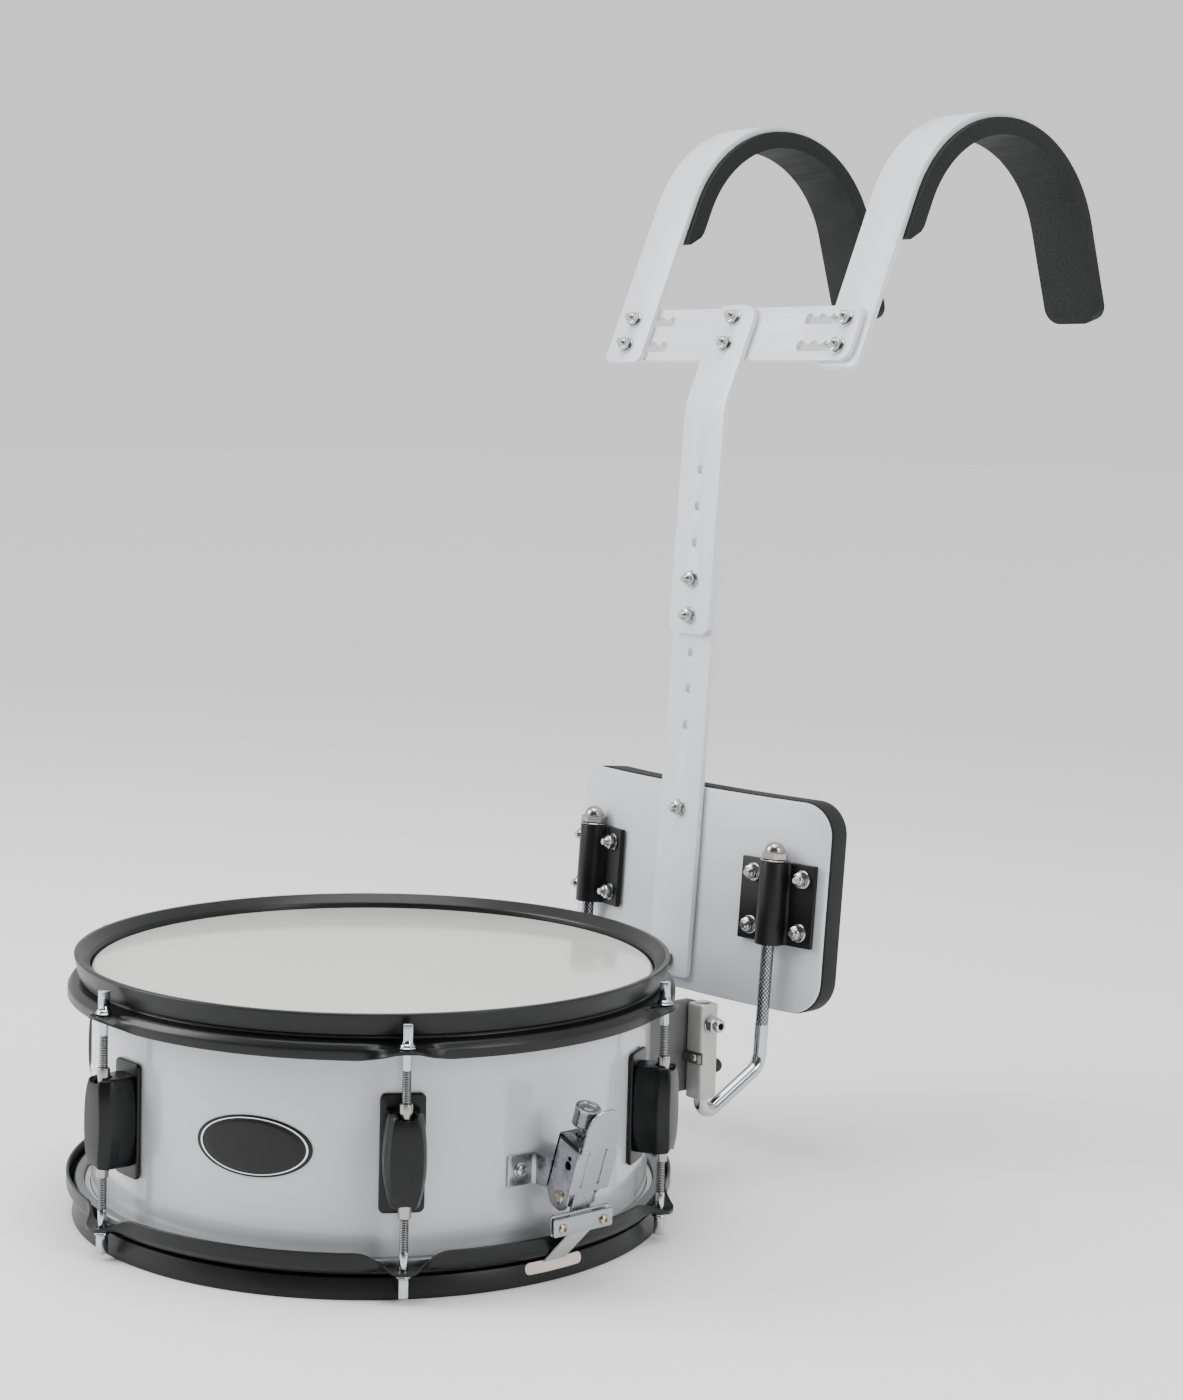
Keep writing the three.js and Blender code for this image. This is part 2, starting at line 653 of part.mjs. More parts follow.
// How far the flange is turned down into a skirt: none at a rod's ear, all of it between ears,
// with a straight slanted edge between the two
function skirtShare(angle) {
  const sector = 2 * Math.PI / LUG_COUNT;
  const offset = Math.abs(angle - sector * Math.round(angle / sector));
  const share = (offset - RIM_EAR_HALF_ANGLE) / (RIM_EAR_BLEND_ANGLE - RIM_EAR_HALF_ANGLE);
  return THREE.MathUtils.clamp(share, 0, 1);
}

function rimGeometry(slots = []) {
  const lipInner = RIM_COLLAR + RIM_LIP_REACH - RIM_LIP_LAND;
  const skirt = RIM_COLLAR + RIM_SKIRT_REACH;
  const ear = RIM_COLLAR + RIM_EAR_REACH;
  const earStart = ROD_CIRCLE - ROD_WASHER_RADIUS - GAP;
  const rings = rimAngles().map((angle) => {
    const share = skirtShare(angle);
    const mix = (atEar, atSkirt) => THREE.MathUtils.lerp(atEar, atSkirt, share);
    const underLedge = RIM_LEDGE_DEPTH + RIM_WALL;
    const profile = [
      [RIM_COLLAR + RIM_LIP_REACH, 0],
      [RIM_COLLAR + RIM_LIP_REACH, RIM_LIP_HEIGHT],
      [RIM_COLLAR + RIM_NECK, RIM_NECK_DEPTH],
      [RIM_COLLAR, RIM_LEDGE_DEPTH],
      [RIM_COLLAR + RIM_LIP_REACH - RIM_NECK, RIM_LEDGE_DEPTH],
      [mix(earStart, skirt - RIM_SKIRT_BEND / 2), mix(RIM_EAR_DEPTH, RIM_LEDGE_DEPTH + RIM_SKIRT_BEND)],
      [mix(earStart + RIM_SKIRT_BEND, skirt), mix(RIM_EAR_DEPTH, RIM_LEDGE_DEPTH + 2 * RIM_SKIRT_BEND)],
      [mix(ear, skirt), mix(RIM_EAR_DEPTH, RIM_SKIRT_DEPTH)],
      [mix(ear, skirt - RIM_WALL), mix(RIM_EAR_DEPTH + RIM_WALL, RIM_SKIRT_DEPTH)],
      [skirt - RIM_WALL, mix(RIM_EAR_DEPTH, underLedge) + mix(RIM_WALL, RIM_SKIRT_BEND)],
      [RIM_COLLAR + RIM_LIP_REACH - RIM_NECK - BITE, underLedge],
      [RIM_INNER, underLedge],
      [RIM_INNER, RIM_NECK_DEPTH],
      [lipInner, 0],
    ];
    return profile.map(([radius, depth]) => new THREE.Vector3(
      radius * Math.sin(angle),
      -radius * Math.cos(angle),
      DRUM_HEIGHT - depth,
    ));
  });
  const hole = rod(ROD_HOLE_RADIUS, EAR_TOP - RIM_WALL - OVERRUN, EAR_TOP + OVERRUN, ROD_SIDES);
  hole.translate(0, -ROD_CIRCLE, 0);
  const holes = [];
  for (let i = 0; i < LUG_COUNT; i += 1) holes.push(atAngle(hole, 2 * Math.PI * i / LUG_COUNT));
  return cut(loft(rings, true), ...holes, ...slots);
}

function snareRimGeometry() {
  const slot = rectangle(-SLOT_HALF_WIDTH, SLOT_LOW, SLOT_HALF_WIDTH, SLOT_HIGH, SLOT_CORNER, 2);
  const near = RIM_INNER - RIM_WALL - OVERRUN;
  const far = RIM_COLLAR + RIM_LIP_REACH + OVERRUN;
  const slots = [slab(slot, 'x', near, far), slab(slot, 'x', -far, -near)];
  return overturned(rimGeometry(slots.map(overturned)));
}

// Lugs: a plate, a six sided body that narrows to its ends, and a swivel nut in each end

function lugGeometry() {
  const plateFront = PLATE_SEAT + LUG_PLATE_THICKNESS;
  const plate = slab(rectangle(-LUG_PLATE_WIDTH / 2, MID - LUG_PLATE_HEIGHT / 2, LUG_PLATE_WIDTH / 2,
    MID + LUG_PLATE_HEIGHT / 2, LUG_PLATE_CORNER), 'y', -plateFront, -PLATE_SEAT);
  const ring = ({ up, base, front, depth }, side) => {
    const wide = base * LUG_BODY_BASE_WIDTH / 2;
    const narrow = front * LUG_BODY_FRONT_WIDTH / 2;
    const foot = -plateFront + BITE;
    const cheek = -plateFront - LUG_CHEEK_DEPTH * depth;
    const face = -plateFront - LUG_BODY_DEPTH * depth;
    const height = MID + side * up * LUG_BODY_HEIGHT / 2;
    return [[-wide, foot], [-wide, cheek], [-narrow, face], [narrow, face], [wide, cheek], [wide, foot]]
      .map(([x, y]) => new THREE.Vector3(x, y, height));
  };
  const below = LUG_RING_SHARES.map((share) => ring(share, -1));
  const above = LUG_RING_SHARES.slice(0, -1).reverse().map((share) => ring(share, 1));
  const body = loft([...below, ...above]);
  const nutEnd = LUG_BODY_HEIGHT / 2 + LUG_NUT_HEIGHT;
  const nut = rod(LUG_NUT_RADIUS, MID + nutEnd - LUG_BORE_DEPTH, MID + nutEnd, ROD_SIDES);
  nut.translate(0, -ROD_CIRCLE, 0);
  const bore = rod(LUG_BORE_RADIUS, MID + nutEnd - LUG_BORE_DEPTH, MID + nutEnd + OVERRUN, ROD_SIDES);
  bore.translate(0, -ROD_CIRCLE, 0);
  return cut(fuse(plate, body, nut, overturned(nut)), bore, overturned(bore));
}

// Tension rods: square head, round collar and washer above the ear, then the long screw

function rodGeometry() {
  const washer = EAR_TOP + GAP;
  const collar = washer + ROD_WASHER_HEIGHT;
  const head = collar + ROD_COLLAR_HEIGHT;
  const ring = (radius, height, square = false) => {
    const points = [];
    for (let k = 0; k < ROD_SIDES; k += 1) {
      const angle = 2 * Math.PI * k / ROD_SIDES;
      const reach = square && k % 2 === 1 ? radius * Math.SQRT2 : radius;
      points.push(new THREE.Vector3(reach * Math.cos(angle), reach * Math.sin(angle) - ROD_CIRCLE, height));
    }
    return points;
  };
  return loft([
    ring(ROD_RADIUS, ROD_END),
    ring(ROD_RADIUS, washer),
    ring(ROD_WASHER_RADIUS, washer),
    ring(ROD_WASHER_RADIUS, collar),
    ring(ROD_HEAD_WIDTH / 2, head, true),
    ring(ROD_HEAD_WIDTH / 2, head + ROD_HEAD_HEIGHT, true),
  ]);
}

function addDrum() {
  add('shell', shellGeometry(), WHITE_SHELL);
  add('vent_grommet', ventGeometry(), CHROME);
  add('badge', badgeGeometry(), BLACK_METAL);
  add('batter_head', headGeometry(), HEAD_GREY);
  add('snare_head', overturned(headGeometry()), HEAD_GREY);
  add('batter_flesh_hoop', fleshHoopGeometry(), CHROME);
  add('snare_flesh_hoop', overturned(fleshHoopGeometry()), CHROME);
  add('batter_hoop', rimGeometry(), BLACK_METAL);
  add('snare_hoop', snareRimGeometry(), BLACK_METAL);
  const lug = lugGeometry();
  const tensionRod = rodGeometry();
  for (let i = 0; i < LUG_COUNT; i += 1) {
    const angle = 2 * Math.PI * i / LUG_COUNT;
    add(`lug_${i + 1}`, atAngle(lug, angle), BLACK_METAL);
    add(`tension_rod_top_${i + 1}`, atAngle(tensionRod, angle), CHROME);
    add(`tension_rod_bottom_${i + 1}`, atAngle(overturned(tensionRod), angle), CHROME);
  }
}

addDrum();

// Sheet metal and bent bar helpers

// Open path through corners of [across, up, bend radius], as points
function bentPath(corners, steps = 4) {
  const shape = outline(corners.map(([x, y, radius = 0], i) => {
    const inner = i > 0 && i < corners.length - 1;
    return [x, y, inner ? radius : 0];
  }), steps);
  return shape.getPoints();
}

// Direction of a path at each of its points, halfway between its neighbours at a bend
function directions(path) {
  return path.map((point, i) => {
    const before = path[Math.max(i - 1, 0)];
    const after = path[Math.min(i + 1, path.length - 1)];
    const arrive = point.clone().sub(before).normalize();
    const leave = after.clone().sub(point).normalize();
    return arrive.add(leave).normalize();
  });
}

// Outline of a sheet that follows a path with its thickness to the path's left
function ribbon(corners, thickness, steps = 4) {
  const path = bentPath(corners, steps);
  const along = directions(path);
  const offset = path.map((point, i) => {
    const before = path[i === 0 ? 0 : i - 1];
    const after = path[i === 0 ? 1 : i];
    const edge = after.clone().sub(before).normalize();
    const spread = thickness / Math.max(along[i].dot(edge), MITRE_SHARE);
    return new THREE.Vector2(-along[i].y, along[i].x).multiplyScalar(spread).add(point);
  });
  return new THREE.Shape([...path, ...offset.reverse()]);
}

// Round bar along a path in the plane across X
function bentRod(path, x, radius, sides) {
  const along = directions(path);
  return loft(path.map((point, i) => {
    const ring = [];
    for (let k = 0; k < sides; k += 1) {
      const angle = 2 * Math.PI * (k + 0.5) / sides;
      const side = radius * Math.cos(angle);
      const out = radius * Math.sin(angle);
      ring.push(new THREE.Vector3(x + side, point.x - out * along[i].y, point.y + out * along[i].x));
    }
    return ring;
  }));
}

// Bar that follows a (y, z) path. The section gives [share of half width, offset from the path] points,
// and the bar narrows round its corners at both ends.
function bentBar(path, x, halfWidth, section, corner) {
  const lengths = [0];
  for (let i = 1; i < path.length; i += 1) lengths.push(lengths[i - 1] + path[i].distanceTo(path[i - 1]));
  const total = lengths.at(-1);
  const stations = new Set(lengths);
  CURVE_SHARES.forEach((share) => {
    const inset = corner * (1 - Math.cos(share * Math.PI / 2));
    stations.add(inset);
    stations.add(total - inset);
  });
  const sorted = [...stations].sort((a, b) => a - b).filter((s, i, all) => i === 0 || s - all[i - 1] > WELD);
  const along = directions(path);
  return loft(sorted.map((s) => {
    const i = Math.max(1, lengths.findIndex((length) => length >= s - WELD));
    const share = (s - lengths[i - 1]) / (lengths[i] - lengths[i - 1]);
    const point = path[i - 1].clone().lerp(path[i], share);
    const heading = along[i - 1].clone().lerp(along[i], share).normalize();
    const inset = Math.max(corner - Math.min(s, total - s), 0);
    const half = halfWidth - corner + Math.sqrt(Math.max(corner * corner - inset * inset, 0));
    return section.map(([across, out]) => new THREE.Vector3(
      x + across * half,
      point.x + out * heading.y,
      point.y - out * heading.x,
    ));
  }));
}

function straight(from, to) {
  return [new THREE.Vector2(from[0], from[1]), new THREE.Vector2(to[0], to[1])];
}

// Flat bar section: the path runs up its front face and the thickness goes to +Y
const FLAT_SECTION = (front, thickness) => [
  [-1, front],
  [1, front],
  [1, front + thickness],
  [-1, front + thickness],
];

function mirrored(geometry) {
  return geometry.clone().scale(-1, 1, 1);
}

// Strainer

const strainer = new THREE.Group();
strainer.position.set(STRAINER_PIVOT_RADIUS, 0, STRAINER_PIVOT_HEIGHT);
strainer.rotation.y = STRAINER_LEAN;
strainer.updateMatrix();
assembly.add(strainer);

// Takes a shape from the strainer's leaned frame to the drum's
function leaned(geometry) {
  return geometry.clone().applyMatrix4(strainer.matrix);
}

function upright(geometry) {
  return geometry.clone().applyMatrix4(strainer.matrix.clone().invert());
}

// Feet of sheet that lie on the shell, with their screws, for the strainer and for the butt
function wings(low, high, legOut) {
  const front = PLATE_SEAT + STRAINER_SHEET;
  const legInner = STRAINER_BASE_HALF_WIDTH - STRAINER_SHEET;
  const arc = (radius, from, to) => CURVE_SHARES.map((share) => {
    const angle = THREE.MathUtils.lerp(from, to, share);
    return new THREE.Vector2(radius * Math.cos(angle), radius * Math.sin(angle));
  });
  const legAngle = Math.asin(legInner / PLATE_SEAT);
  const bendAngle = Math.asin((STRAINER_BASE_HALF_WIDTH + STRAINER_SHEET) / front);
  const shape = new THREE.Shape([
    ...arc(PLATE_SEAT, WING_END_ANGLE, legAngle),
    new THREE.Vector2(legOut, legInner),
    new THREE.Vector2(legOut, STRAINER_BASE_HALF_WIDTH),
    new THREE.Vector2(front + STRAINER_SHEET, STRAINER_BASE_HALF_WIDTH),
    ...arc(front, bendAngle, WING_END_ANGLE),
  ]);
  const wing = slab(shape, 'z', low, high);
  const screw = turned([
    [0, front - BITE],
    [WING_SCREW_RADIUS, front - BITE],
    [WING_SCREW_RADIUS * Math.SQRT1_2, front + WING_SCREW_HEIGHT],
    [0, front + WING_SCREW_HEIGHT],
  ], ROD_SIDES).rotateY(Math.PI / 2).rotateZ(WING_SCREW_ANGLE).translate(0, 0, (low + high) / 2);
  const left = fuse(wing, screw);
  return [left, left.clone().scale(1, -1, 1)];
}

function strainerBaseGeometry() {
  const back = -STRAINER_BASE_BACK;
  const half = STRAINER_BASE_HALF_WIDTH;
  const top = STRAINER_BASE_TOP;
  const foot = -STRAINER_BASE_FOOT;
  const cheekOutline = () => outline([
    [back, 0],
    [back / 2, foot, STRAINER_BASE_FOOT / 2],
    [STRAINER_BASE_FRONT, foot, STRAINER_BASE_FRONT],
    [STRAINER_BASE_FRONT, top, STRAINER_SHEET],
    [back, top, STRAINER_SHEET],
  ]);
  const keyhole = () => round(0, KEYHOLE_HEIGHT, KEYHOLE_RADIUS, ROD_SIDES);
  const cheek = slab(cheekOutline(), 'y', half - STRAINER_SHEET, half, [keyhole()]);
  const plate = slab(rectangle(-half, 0, half, top), 'x', back, back + STRAINER_SHEET);
  const shaftHole = round(KNOB_OUT, 0, KNOB_SHAFT_RADIUS + 2 * WINDOW_CLEARANCE, 12);
  const lidOutline = rectangle(back, -half, STRAINER_BASE_FRONT, half);
  const lid = slab(lidOutline, 'z', top - STRAINER_SHEET, top, [shaftHole]);
  const pinHead = half + STRAINER_PIN_HEAD_HEIGHT;
  const pin = turned([
    [0, -pinHead],
    [STRAINER_PIN_HEAD_RADIUS, -pinHead],
    [STRAINER_PIN_HEAD_RADIUS, BITE - half],
    [STRAINER_PIN_RADIUS, BITE - half],
    [STRAINER_PIN_RADIUS, half - BITE],
    [STRAINER_PIN_HEAD_RADIUS, half - BITE],
    [STRAINER_PIN_HEAD_RADIUS, pinHead],
    [0, pinHead],
  ], ROD_SIDES).rotateX(Math.PI / 2);
  const legOut = STRAINER_PIVOT_RADIUS - STRAINER_BASE_BACK / 2;
  const feet = wings(WING_LOW, WING_HIGH, legOut).map(upright);
  return fuse(cheek, cheek.clone().scale(1, -1, 1), plate, lid, pin, ...feet);
}

function leverGeometry() {
  const front = LEVER_FRONT;
  const inner = front - STRAINER_SHEET;
  const half = LEVER_HALF_WIDTH;
  const waist = LEVER_WAIST_HALF_WIDTH;
  const shoulder = (LEVER_WIDEST + LEVER_WAIST) / 2;
  const face = slab(outline([
    [-half, LEVER_BOTTOM, STRAINER_SHEET],
    [half, LEVER_BOTTOM, STRAINER_SHEET],
    [half, LEVER_WIDEST, LEVER_EAR_BACK],
    [waist + BITE, shoulder],
    [waist, LEVER_WAIST],
    [waist, LEVER_TOP, waist - BITE],
    [-waist, LEVER_TOP, waist - BITE],
    [-waist, LEVER_WAIST],
    [-waist - BITE, shoulder],
    [-half, LEVER_WIDEST, LEVER_EAR_BACK],
  ], 5), 'x', inner, front);
  const earOutline = () => outline([
    [-LEVER_EAR_BACK, -LEVER_EAR_FOOT, LEVER_EAR_BACK],
    [LEVER_EAR_BACK, -LEVER_EAR_FOOT, LEVER_EAR_BACK],
    [front - BITE, LEVER_BOTTOM],
    [front - BITE, LEVER_EAR_TOP],
    [inner - LEVER_EAR_BACK, LEVER_EAR_TOP],
    [-LEVER_EAR_BACK, LEVER_EAR_FOOT, LEVER_EAR_BACK],
  ]);
  const pivotHole = () => round(0, 0, STRAINER_PIN_RADIUS + WINDOW_CLEARANCE, ROD_SIDES);
  const ear = slab(earOutline(), 'y', LEVER_EAR_OUTER - LEVER_EAR_WALL, LEVER_EAR_OUTER, [pivotHole()]);
  const link = rod(LINK_PIN_RADIUS, -LEVER_EAR_OUTER, LEVER_EAR_OUTER, ROD_SIDES);
  link.rotateX(Math.PI / 2).translate(LINK_PIN_OUT, 0, LINK_PIN_UP);
  const ribs = [-LEVER_RIB_PLACE, LEVER_RIB_PLACE].map((y) => slab(outline([
    [front - BITE, LEVER_EAR_TOP / 2],
    [front + LEVER_RIB_HEIGHT, LEVER_EAR_TOP / 2 + LEVER_RIB_WIDTH],
    [front + LEVER_RIB_HEIGHT, LEVER_WIDEST],
    [front - BITE, LEVER_WIDEST + LEVER_RIB_WIDTH],
  ]), 'y', y - LEVER_RIB_WIDTH / 2, y + LEVER_RIB_WIDTH / 2));
  return fuse(face, ear, ear.clone().scale(1, -1, 1), link, ...ribs);
}

function carriageGeometry() {
  const back = -CARRIAGE_BACK;
  const half = CARRIAGE_HALF_WIDTH;
  const sheet = CARRIAGE_SHEET;
  const front = CARRIAGE_FRONT;
  const channel = slab(outline([
    [back, -half],
    [front, -half],
    [front, sheet - half],
    [back + sheet, sheet - half],
    [back + sheet, half - sheet],
    [front, half - sheet],
    [front, half],
    [back, half],
  ]), 'z', -CARRIAGE_FOOT, CARRIAGE_TOP);
  const hole = round(KNOB_OUT, 0, KNOB_THREAD_RADIUS + GAP, ROD_SIDES);
  const lid = slab(rectangle(back, -half, front, half), 'z', CARRIAGE_TOP - sheet, CARRIAGE_TOP, [hole]);
  const pinRoom = STRAINER_PIN_RADIUS + WINDOW_CLEARANCE;
  const linkRoom = LINK_PIN_RADIUS + WINDOW_CLEARANCE;
  const wide = half + OVERRUN;
  const pinWindow = box([-pinRoom, -wide, -pinRoom], [pinRoom, wide, RELEASE_DROP + pinRoom]);
  const linkSlot = box([0, -wide, LINK_PIN_UP - linkRoom], [front + OVERRUN, wide, LINK_PIN_UP + linkRoom]);
  return cut(fuse(channel, lid), fuse(pinWindow, linkSlot));
}

function knobGeometry() {
  const lidLow = CARRIAGE_TOP - CARRIAGE_SHEET;
  const lowCollar = lidLow - GAP - KNOB_COLLAR_HEIGHT;
  const highCollar = CARRIAGE_TOP + GAP;
  const stem = turned([
    [0, KNOB_THREAD_END],
    [KNOB_THREAD_RADIUS, KNOB_THREAD_END],
    [KNOB_THREAD_RADIUS, lowCollar],
    [KNOB_COLLAR_RADIUS, lowCollar],
    [KNOB_COLLAR_RADIUS, lidLow - GAP],
    [KNOB_THREAD_RADIUS, lidLow - GAP],
    [KNOB_THREAD_RADIUS, highCollar],
    [KNOB_COLLAR_RADIUS, highCollar],
    [KNOB_COLLAR_RADIUS, highCollar + KNOB_COLLAR_HEIGHT],
    [KNOB_SHAFT_RADIUS, highCollar + KNOB_COLLAR_HEIGHT],
    [KNOB_SHAFT_RADIUS, KNOB_LOW + BITE],
    [0, KNOB_LOW + BITE],
  ], ROD_SIDES);
  const points = [];
  for (let k = 0; k < 2 * KNOB_FLUTES; k += 1) {
    const radius = KNOB_RADIUS - (k % 2) * KNOB_FLUTE_DEPTH;
    const angle = Math.PI * k / KNOB_FLUTES;
    points.push(new THREE.Vector2(radius * Math.cos(angle), radius * Math.sin(angle)));
  }
  const head = slab(new THREE.Shape(points), 'z', KNOB_LOW, KNOB_HIGH);
  return fuse(stem, head).translate(KNOB_OUT, 0, 0);
}

function clampPlate(inner, outer, high) {
  const face = rectangle(-CLAMP_HALF_WIDTH, CLAMP_LOW, CLAMP_HALF_WIDTH, high, CLAMP_SHEET);
  return slab(face, 'x', inner, outer);
}

function clampScrewHoles() {
  return [-CLAMP_SCREW_PLACE, CLAMP_SCREW_PLACE].map((y) => rod(CLAMP_SCREW_RADIUS + WINDOW_CLEARANCE,
    CLAMP_RADIUS - OVERRUN, CLAMP_RADIUS + CLAMP_SHEET + OVERRUN, ROD_SIDES)
    .rotateY(Math.PI / 2).translate(0, y, CLAMP_SCREW_UP));
}

function clampCarrierGeometry() {
  const nutBack = KNOB_OUT - KNOB_COLLAR_RADIUS;
  const threadHole = round(KNOB_OUT, 0, KNOB_THREAD_RADIUS + GAP, ROD_SIDES);
  const nut = slab(rectangle(nutBack, -CLAMP_NUT_HALF_WIDTH, CLAMP_STRIP_OUT + BITE, CLAMP_NUT_HALF_WIDTH),
    'z', CLAMP_NUT_LOW, CLAMP_NUT_HIGH, [threadHole]);
  const stripFoot = (CLAMP_HIGH - STRAINER_PIVOT_HEIGHT) - BITE;
  const strip = slab(rectangle(-CLAMP_STRIP_HALF_WIDTH, stripFoot, CLAMP_STRIP_HALF_WIDTH, CLAMP_NUT_HIGH),
    'x', CLAMP_STRIP_OUT, CLAMP_STRIP_OUT + CARRIAGE_SHEET);
  const plate = clampPlate(CLAMP_RADIUS, CLAMP_RADIUS + CLAMP_SHEET, CLAMP_HIGH);
  return cut(fuse(leaned(nut), leaned(strip), plate), ...clampScrewHoles());
}

function clampGeometry() {
  const inner = CLAMP_RADIUS + CLAMP_SHEET + STRAP_THICKNESS + 2 * GAP;
  const outer = inner + CLAMP_SHEET;
  const screws = [-CLAMP_SCREW_PLACE, CLAMP_SCREW_PLACE].map((y) => turned([
    [0, CLAMP_RADIUS],
    [CLAMP_SCREW_RADIUS, CLAMP_RADIUS],
    [CLAMP_SCREW_RADIUS, outer - BITE],
    [CLAMP_SCREW_HEAD_RADIUS, outer - BITE],
    [CLAMP_SCREW_HEAD_RADIUS * Math.SQRT1_2, outer + CLAMP_SCREW_HEAD_HEIGHT],
    [0, outer + CLAMP_SCREW_HEAD_HEIGHT],
  ], ROD_SIDES).rotateY(Math.PI / 2).translate(0, y, CLAMP_SCREW_UP));
  return fuse(clampPlate(inner, outer, CLAMP_COVER_HIGH), ...screws);
}

function buttGeometry() {
  const low = BUTT_PLATE_LOW;
  const seat = CLAMP_RADIUS + CLAMP_SHEET;
  const feet = wings(low, BUTT_PLATE_HIGH, SHELL_RADIUS + STRAINER_BASE_BACK);
  const bridgeFront = SHELL_RADIUS + STRAINER_BASE_BACK;
  const bridge = slab(rectangle(-STRAINER_BASE_HALF_WIDTH, low, STRAINER_BASE_HALF_WIDTH, BUTT_PLATE_HIGH),
    'x', bridgeFront - STRAINER_SHEET, bridgeFront);
  const arm = slab(ribbon([
    [bridgeFront - BITE, low + STRAINER_SHEET],
    [seat, low + STRAINER_SHEET, STRAINER_BASE_FOOT / 2],
    [seat, CLAMP_LOW + BITE],
  ].reverse(), STRAINER_SHEET), 'y', -BUTT_ARM_HALF_WIDTH, BUTT_ARM_HALF_WIDTH);
  const plate = clampPlate(CLAMP_RADIUS, seat, CLAMP_HIGH);
  return mirrored(cut(fuse(...feet, bridge, arm, plate), ...clampScrewHoles()));
}

// Flat strap from a clamp down through the rim's slot to the snare wires
function strapGeometry() {
  const middle = CLAMP_RADIUS + CLAMP_SHEET + GAP;
  const level = STRAP_LEVEL + STRAP_THICKNESS / 2;
  const skirt = RIM_COLLAR + RIM_SKIRT_REACH;
  const path = [
    [middle, CLAMP_COVER_HIGH],
    [middle, CLAMP_LOW - STRAP_THICKNESS],
    [skirt + STRAP_THICKNESS, SLOT_HIGH - STRAP_THICKNESS, STRAP_HALF_WIDTH],
    [RIM_COLLAR + RIM_NECK, level, STRAP_HALF_WIDTH],
    [WIRES_REACH + WIRE_PLATE_LENGTH + GAP, level],
  ];
  return slab(ribbon(path, STRAP_THICKNESS, 3), 'y', -STRAP_HALF_WIDTH, STRAP_HALF_WIDTH);
}

function wiresGeometry() {
  const halfSpan = (WIRE_COUNT + 1) * WIRE_PITCH / 2;
  const end = WIRES_REACH + WIRE_PLATE_LENGTH;
  const plate = slab(rectangle(WIRES_REACH, -halfSpan, end, halfSpan, WIRE_PITCH, 1), 'z',
    WIRE_LEVEL - WIRE_PLATE_THICKNESS / 2, WIRE_LEVEL + WIRE_PLATE_THICKNESS / 2);
  const strands = [];
  for (let i = 0; i < WIRE_COUNT; i += 1) {
    const strand = rod(WIRE_RADIUS, -WIRES_REACH - BITE, WIRES_REACH + BITE, WIRE_SIDES);
    const place = (i + 0.5 - WIRE_COUNT / 2) * WIRE_PITCH;
    strands.push(strand.rotateY(Math.PI / 2).translate(0, place, WIRE_LEVEL));
  }
  return fuse(plate, mirrored(plate), ...strands);
}

function addSnares() {
  add('strainer_base', strainerBaseGeometry(), CHROME, strainer);
  add('strainer_lever', leverGeometry(), CHROME, strainer);
  add('strainer_carriage', carriageGeometry(), CHROME, strainer);
  add('strainer_knob', knobGeometry(), CHROME, strainer);
  add('strainer_clamp_carrier', clampCarrierGeometry(), CHROME);
  add('strainer_clamp', clampGeometry(), CHROME);
  add('butt_plate', buttGeometry(), CHROME);
  add('butt_clamp', mirrored(clampGeometry()), CHROME);
  add('snare_strap_front', strapGeometry(), WEBBING);
  add('snare_strap_rear', mirrored(strapGeometry()), WEBBING);
  add('snare_wires', wiresGeometry(), CHROME);
}

addSnares();

// Receivers: a web on the shell that carries a bored block, drawn for +X

function receiverInner() {
  return RECEIVER_PLACE - RECEIVER_BLOCK_HALF_WIDTH - GAP;
}

function alongX(radius, from, to, y, z, steps = ROD_SIDES) {
  return rod(radius, from, to, steps).rotateY(Math.PI / 2).translate(0, y, z);
}

function receiverBracketGeometry() {
  const inner = receiverInner();
  const left = inner - WEB_THICKNESS;
  const flangeOuter = PLATE_SEAT + WEB_FLANGE_THICKNESS;
  const root = Math.sqrt(flangeOuter * flangeOuter - left * left) - BITE;
  const web = slab(outline([
    [root, WEB_LOW],
    [WEB_FAR, WEB_LOW, WEB_CORNER / 2],
    [WEB_FAR, WEB_HIGH, WEB_CORNER],
    [root, WEB_HIGH],
  ]), 'x', left, inner);
  const start = Math.asin((inner - WEB_FLANGE_WIDTH) / flangeOuter);
  const end = Math.asin(inner / flangeOuter);
  const arc = (radius, from, to) => CURVE_SHARES.map((share) => {
    const angle = THREE.MathUtils.lerp(from, to, share);
    return new THREE.Vector2(radius * Math.sin(angle), radius * Math.cos(angle));
  });
  const flange = slab(new THREE.Shape([...arc(PLATE_SEAT, start, end), ...arc(flangeOuter, end, start)]),
    'z', WEB_LOW, WEB_HIGH);
  const nutSeat = RECEIVER_PLACE + RECEIVER_BLOCK_HALF_WIDTH + GAP;
  const nutEnd = nutSeat + RECEIVER_NUT_HEIGHT;
  const upper = alongX(RECEIVER_BOLT_RADIUS, left, nutEnd + BOLT_TAIL / 2, HOOK_FAR, UPPER_BOLT_UP);
  const nut = alongX(RECEIVER_NUT_RADIUS, nutSeat, nutEnd, HOOK_FAR, UPPER_BOLT_UP, BOLT_SIDES);
  const head = alongX(RECEIVER_NUT_RADIUS, left - RECEIVER_NUT_HEIGHT / 2, left + BITE,
    HOOK_FAR, UPPER_BOLT_UP, BOLT_SIDES);
  const lower = alongX(RECEIVER_BOLT_RADIUS - BITE, left + BITE, nutSeat, LOWER_BOLT_FAR, LOWER_BOLT_UP);
  const cotterHalf = COTTER_HEIGHT / 2;
  const cotter = box([left - RECEIVER_BLOCK_HALF_WIDTH, HOOK_FAR - COTTER_NEAR_REACH, COTTER_UP - cotterHalf],
    [nutSeat, COTTER_FAR, COTTER_UP + cotterHalf]);
  return fuse(web, flange, upper, nut, head, lower, cotter);
}

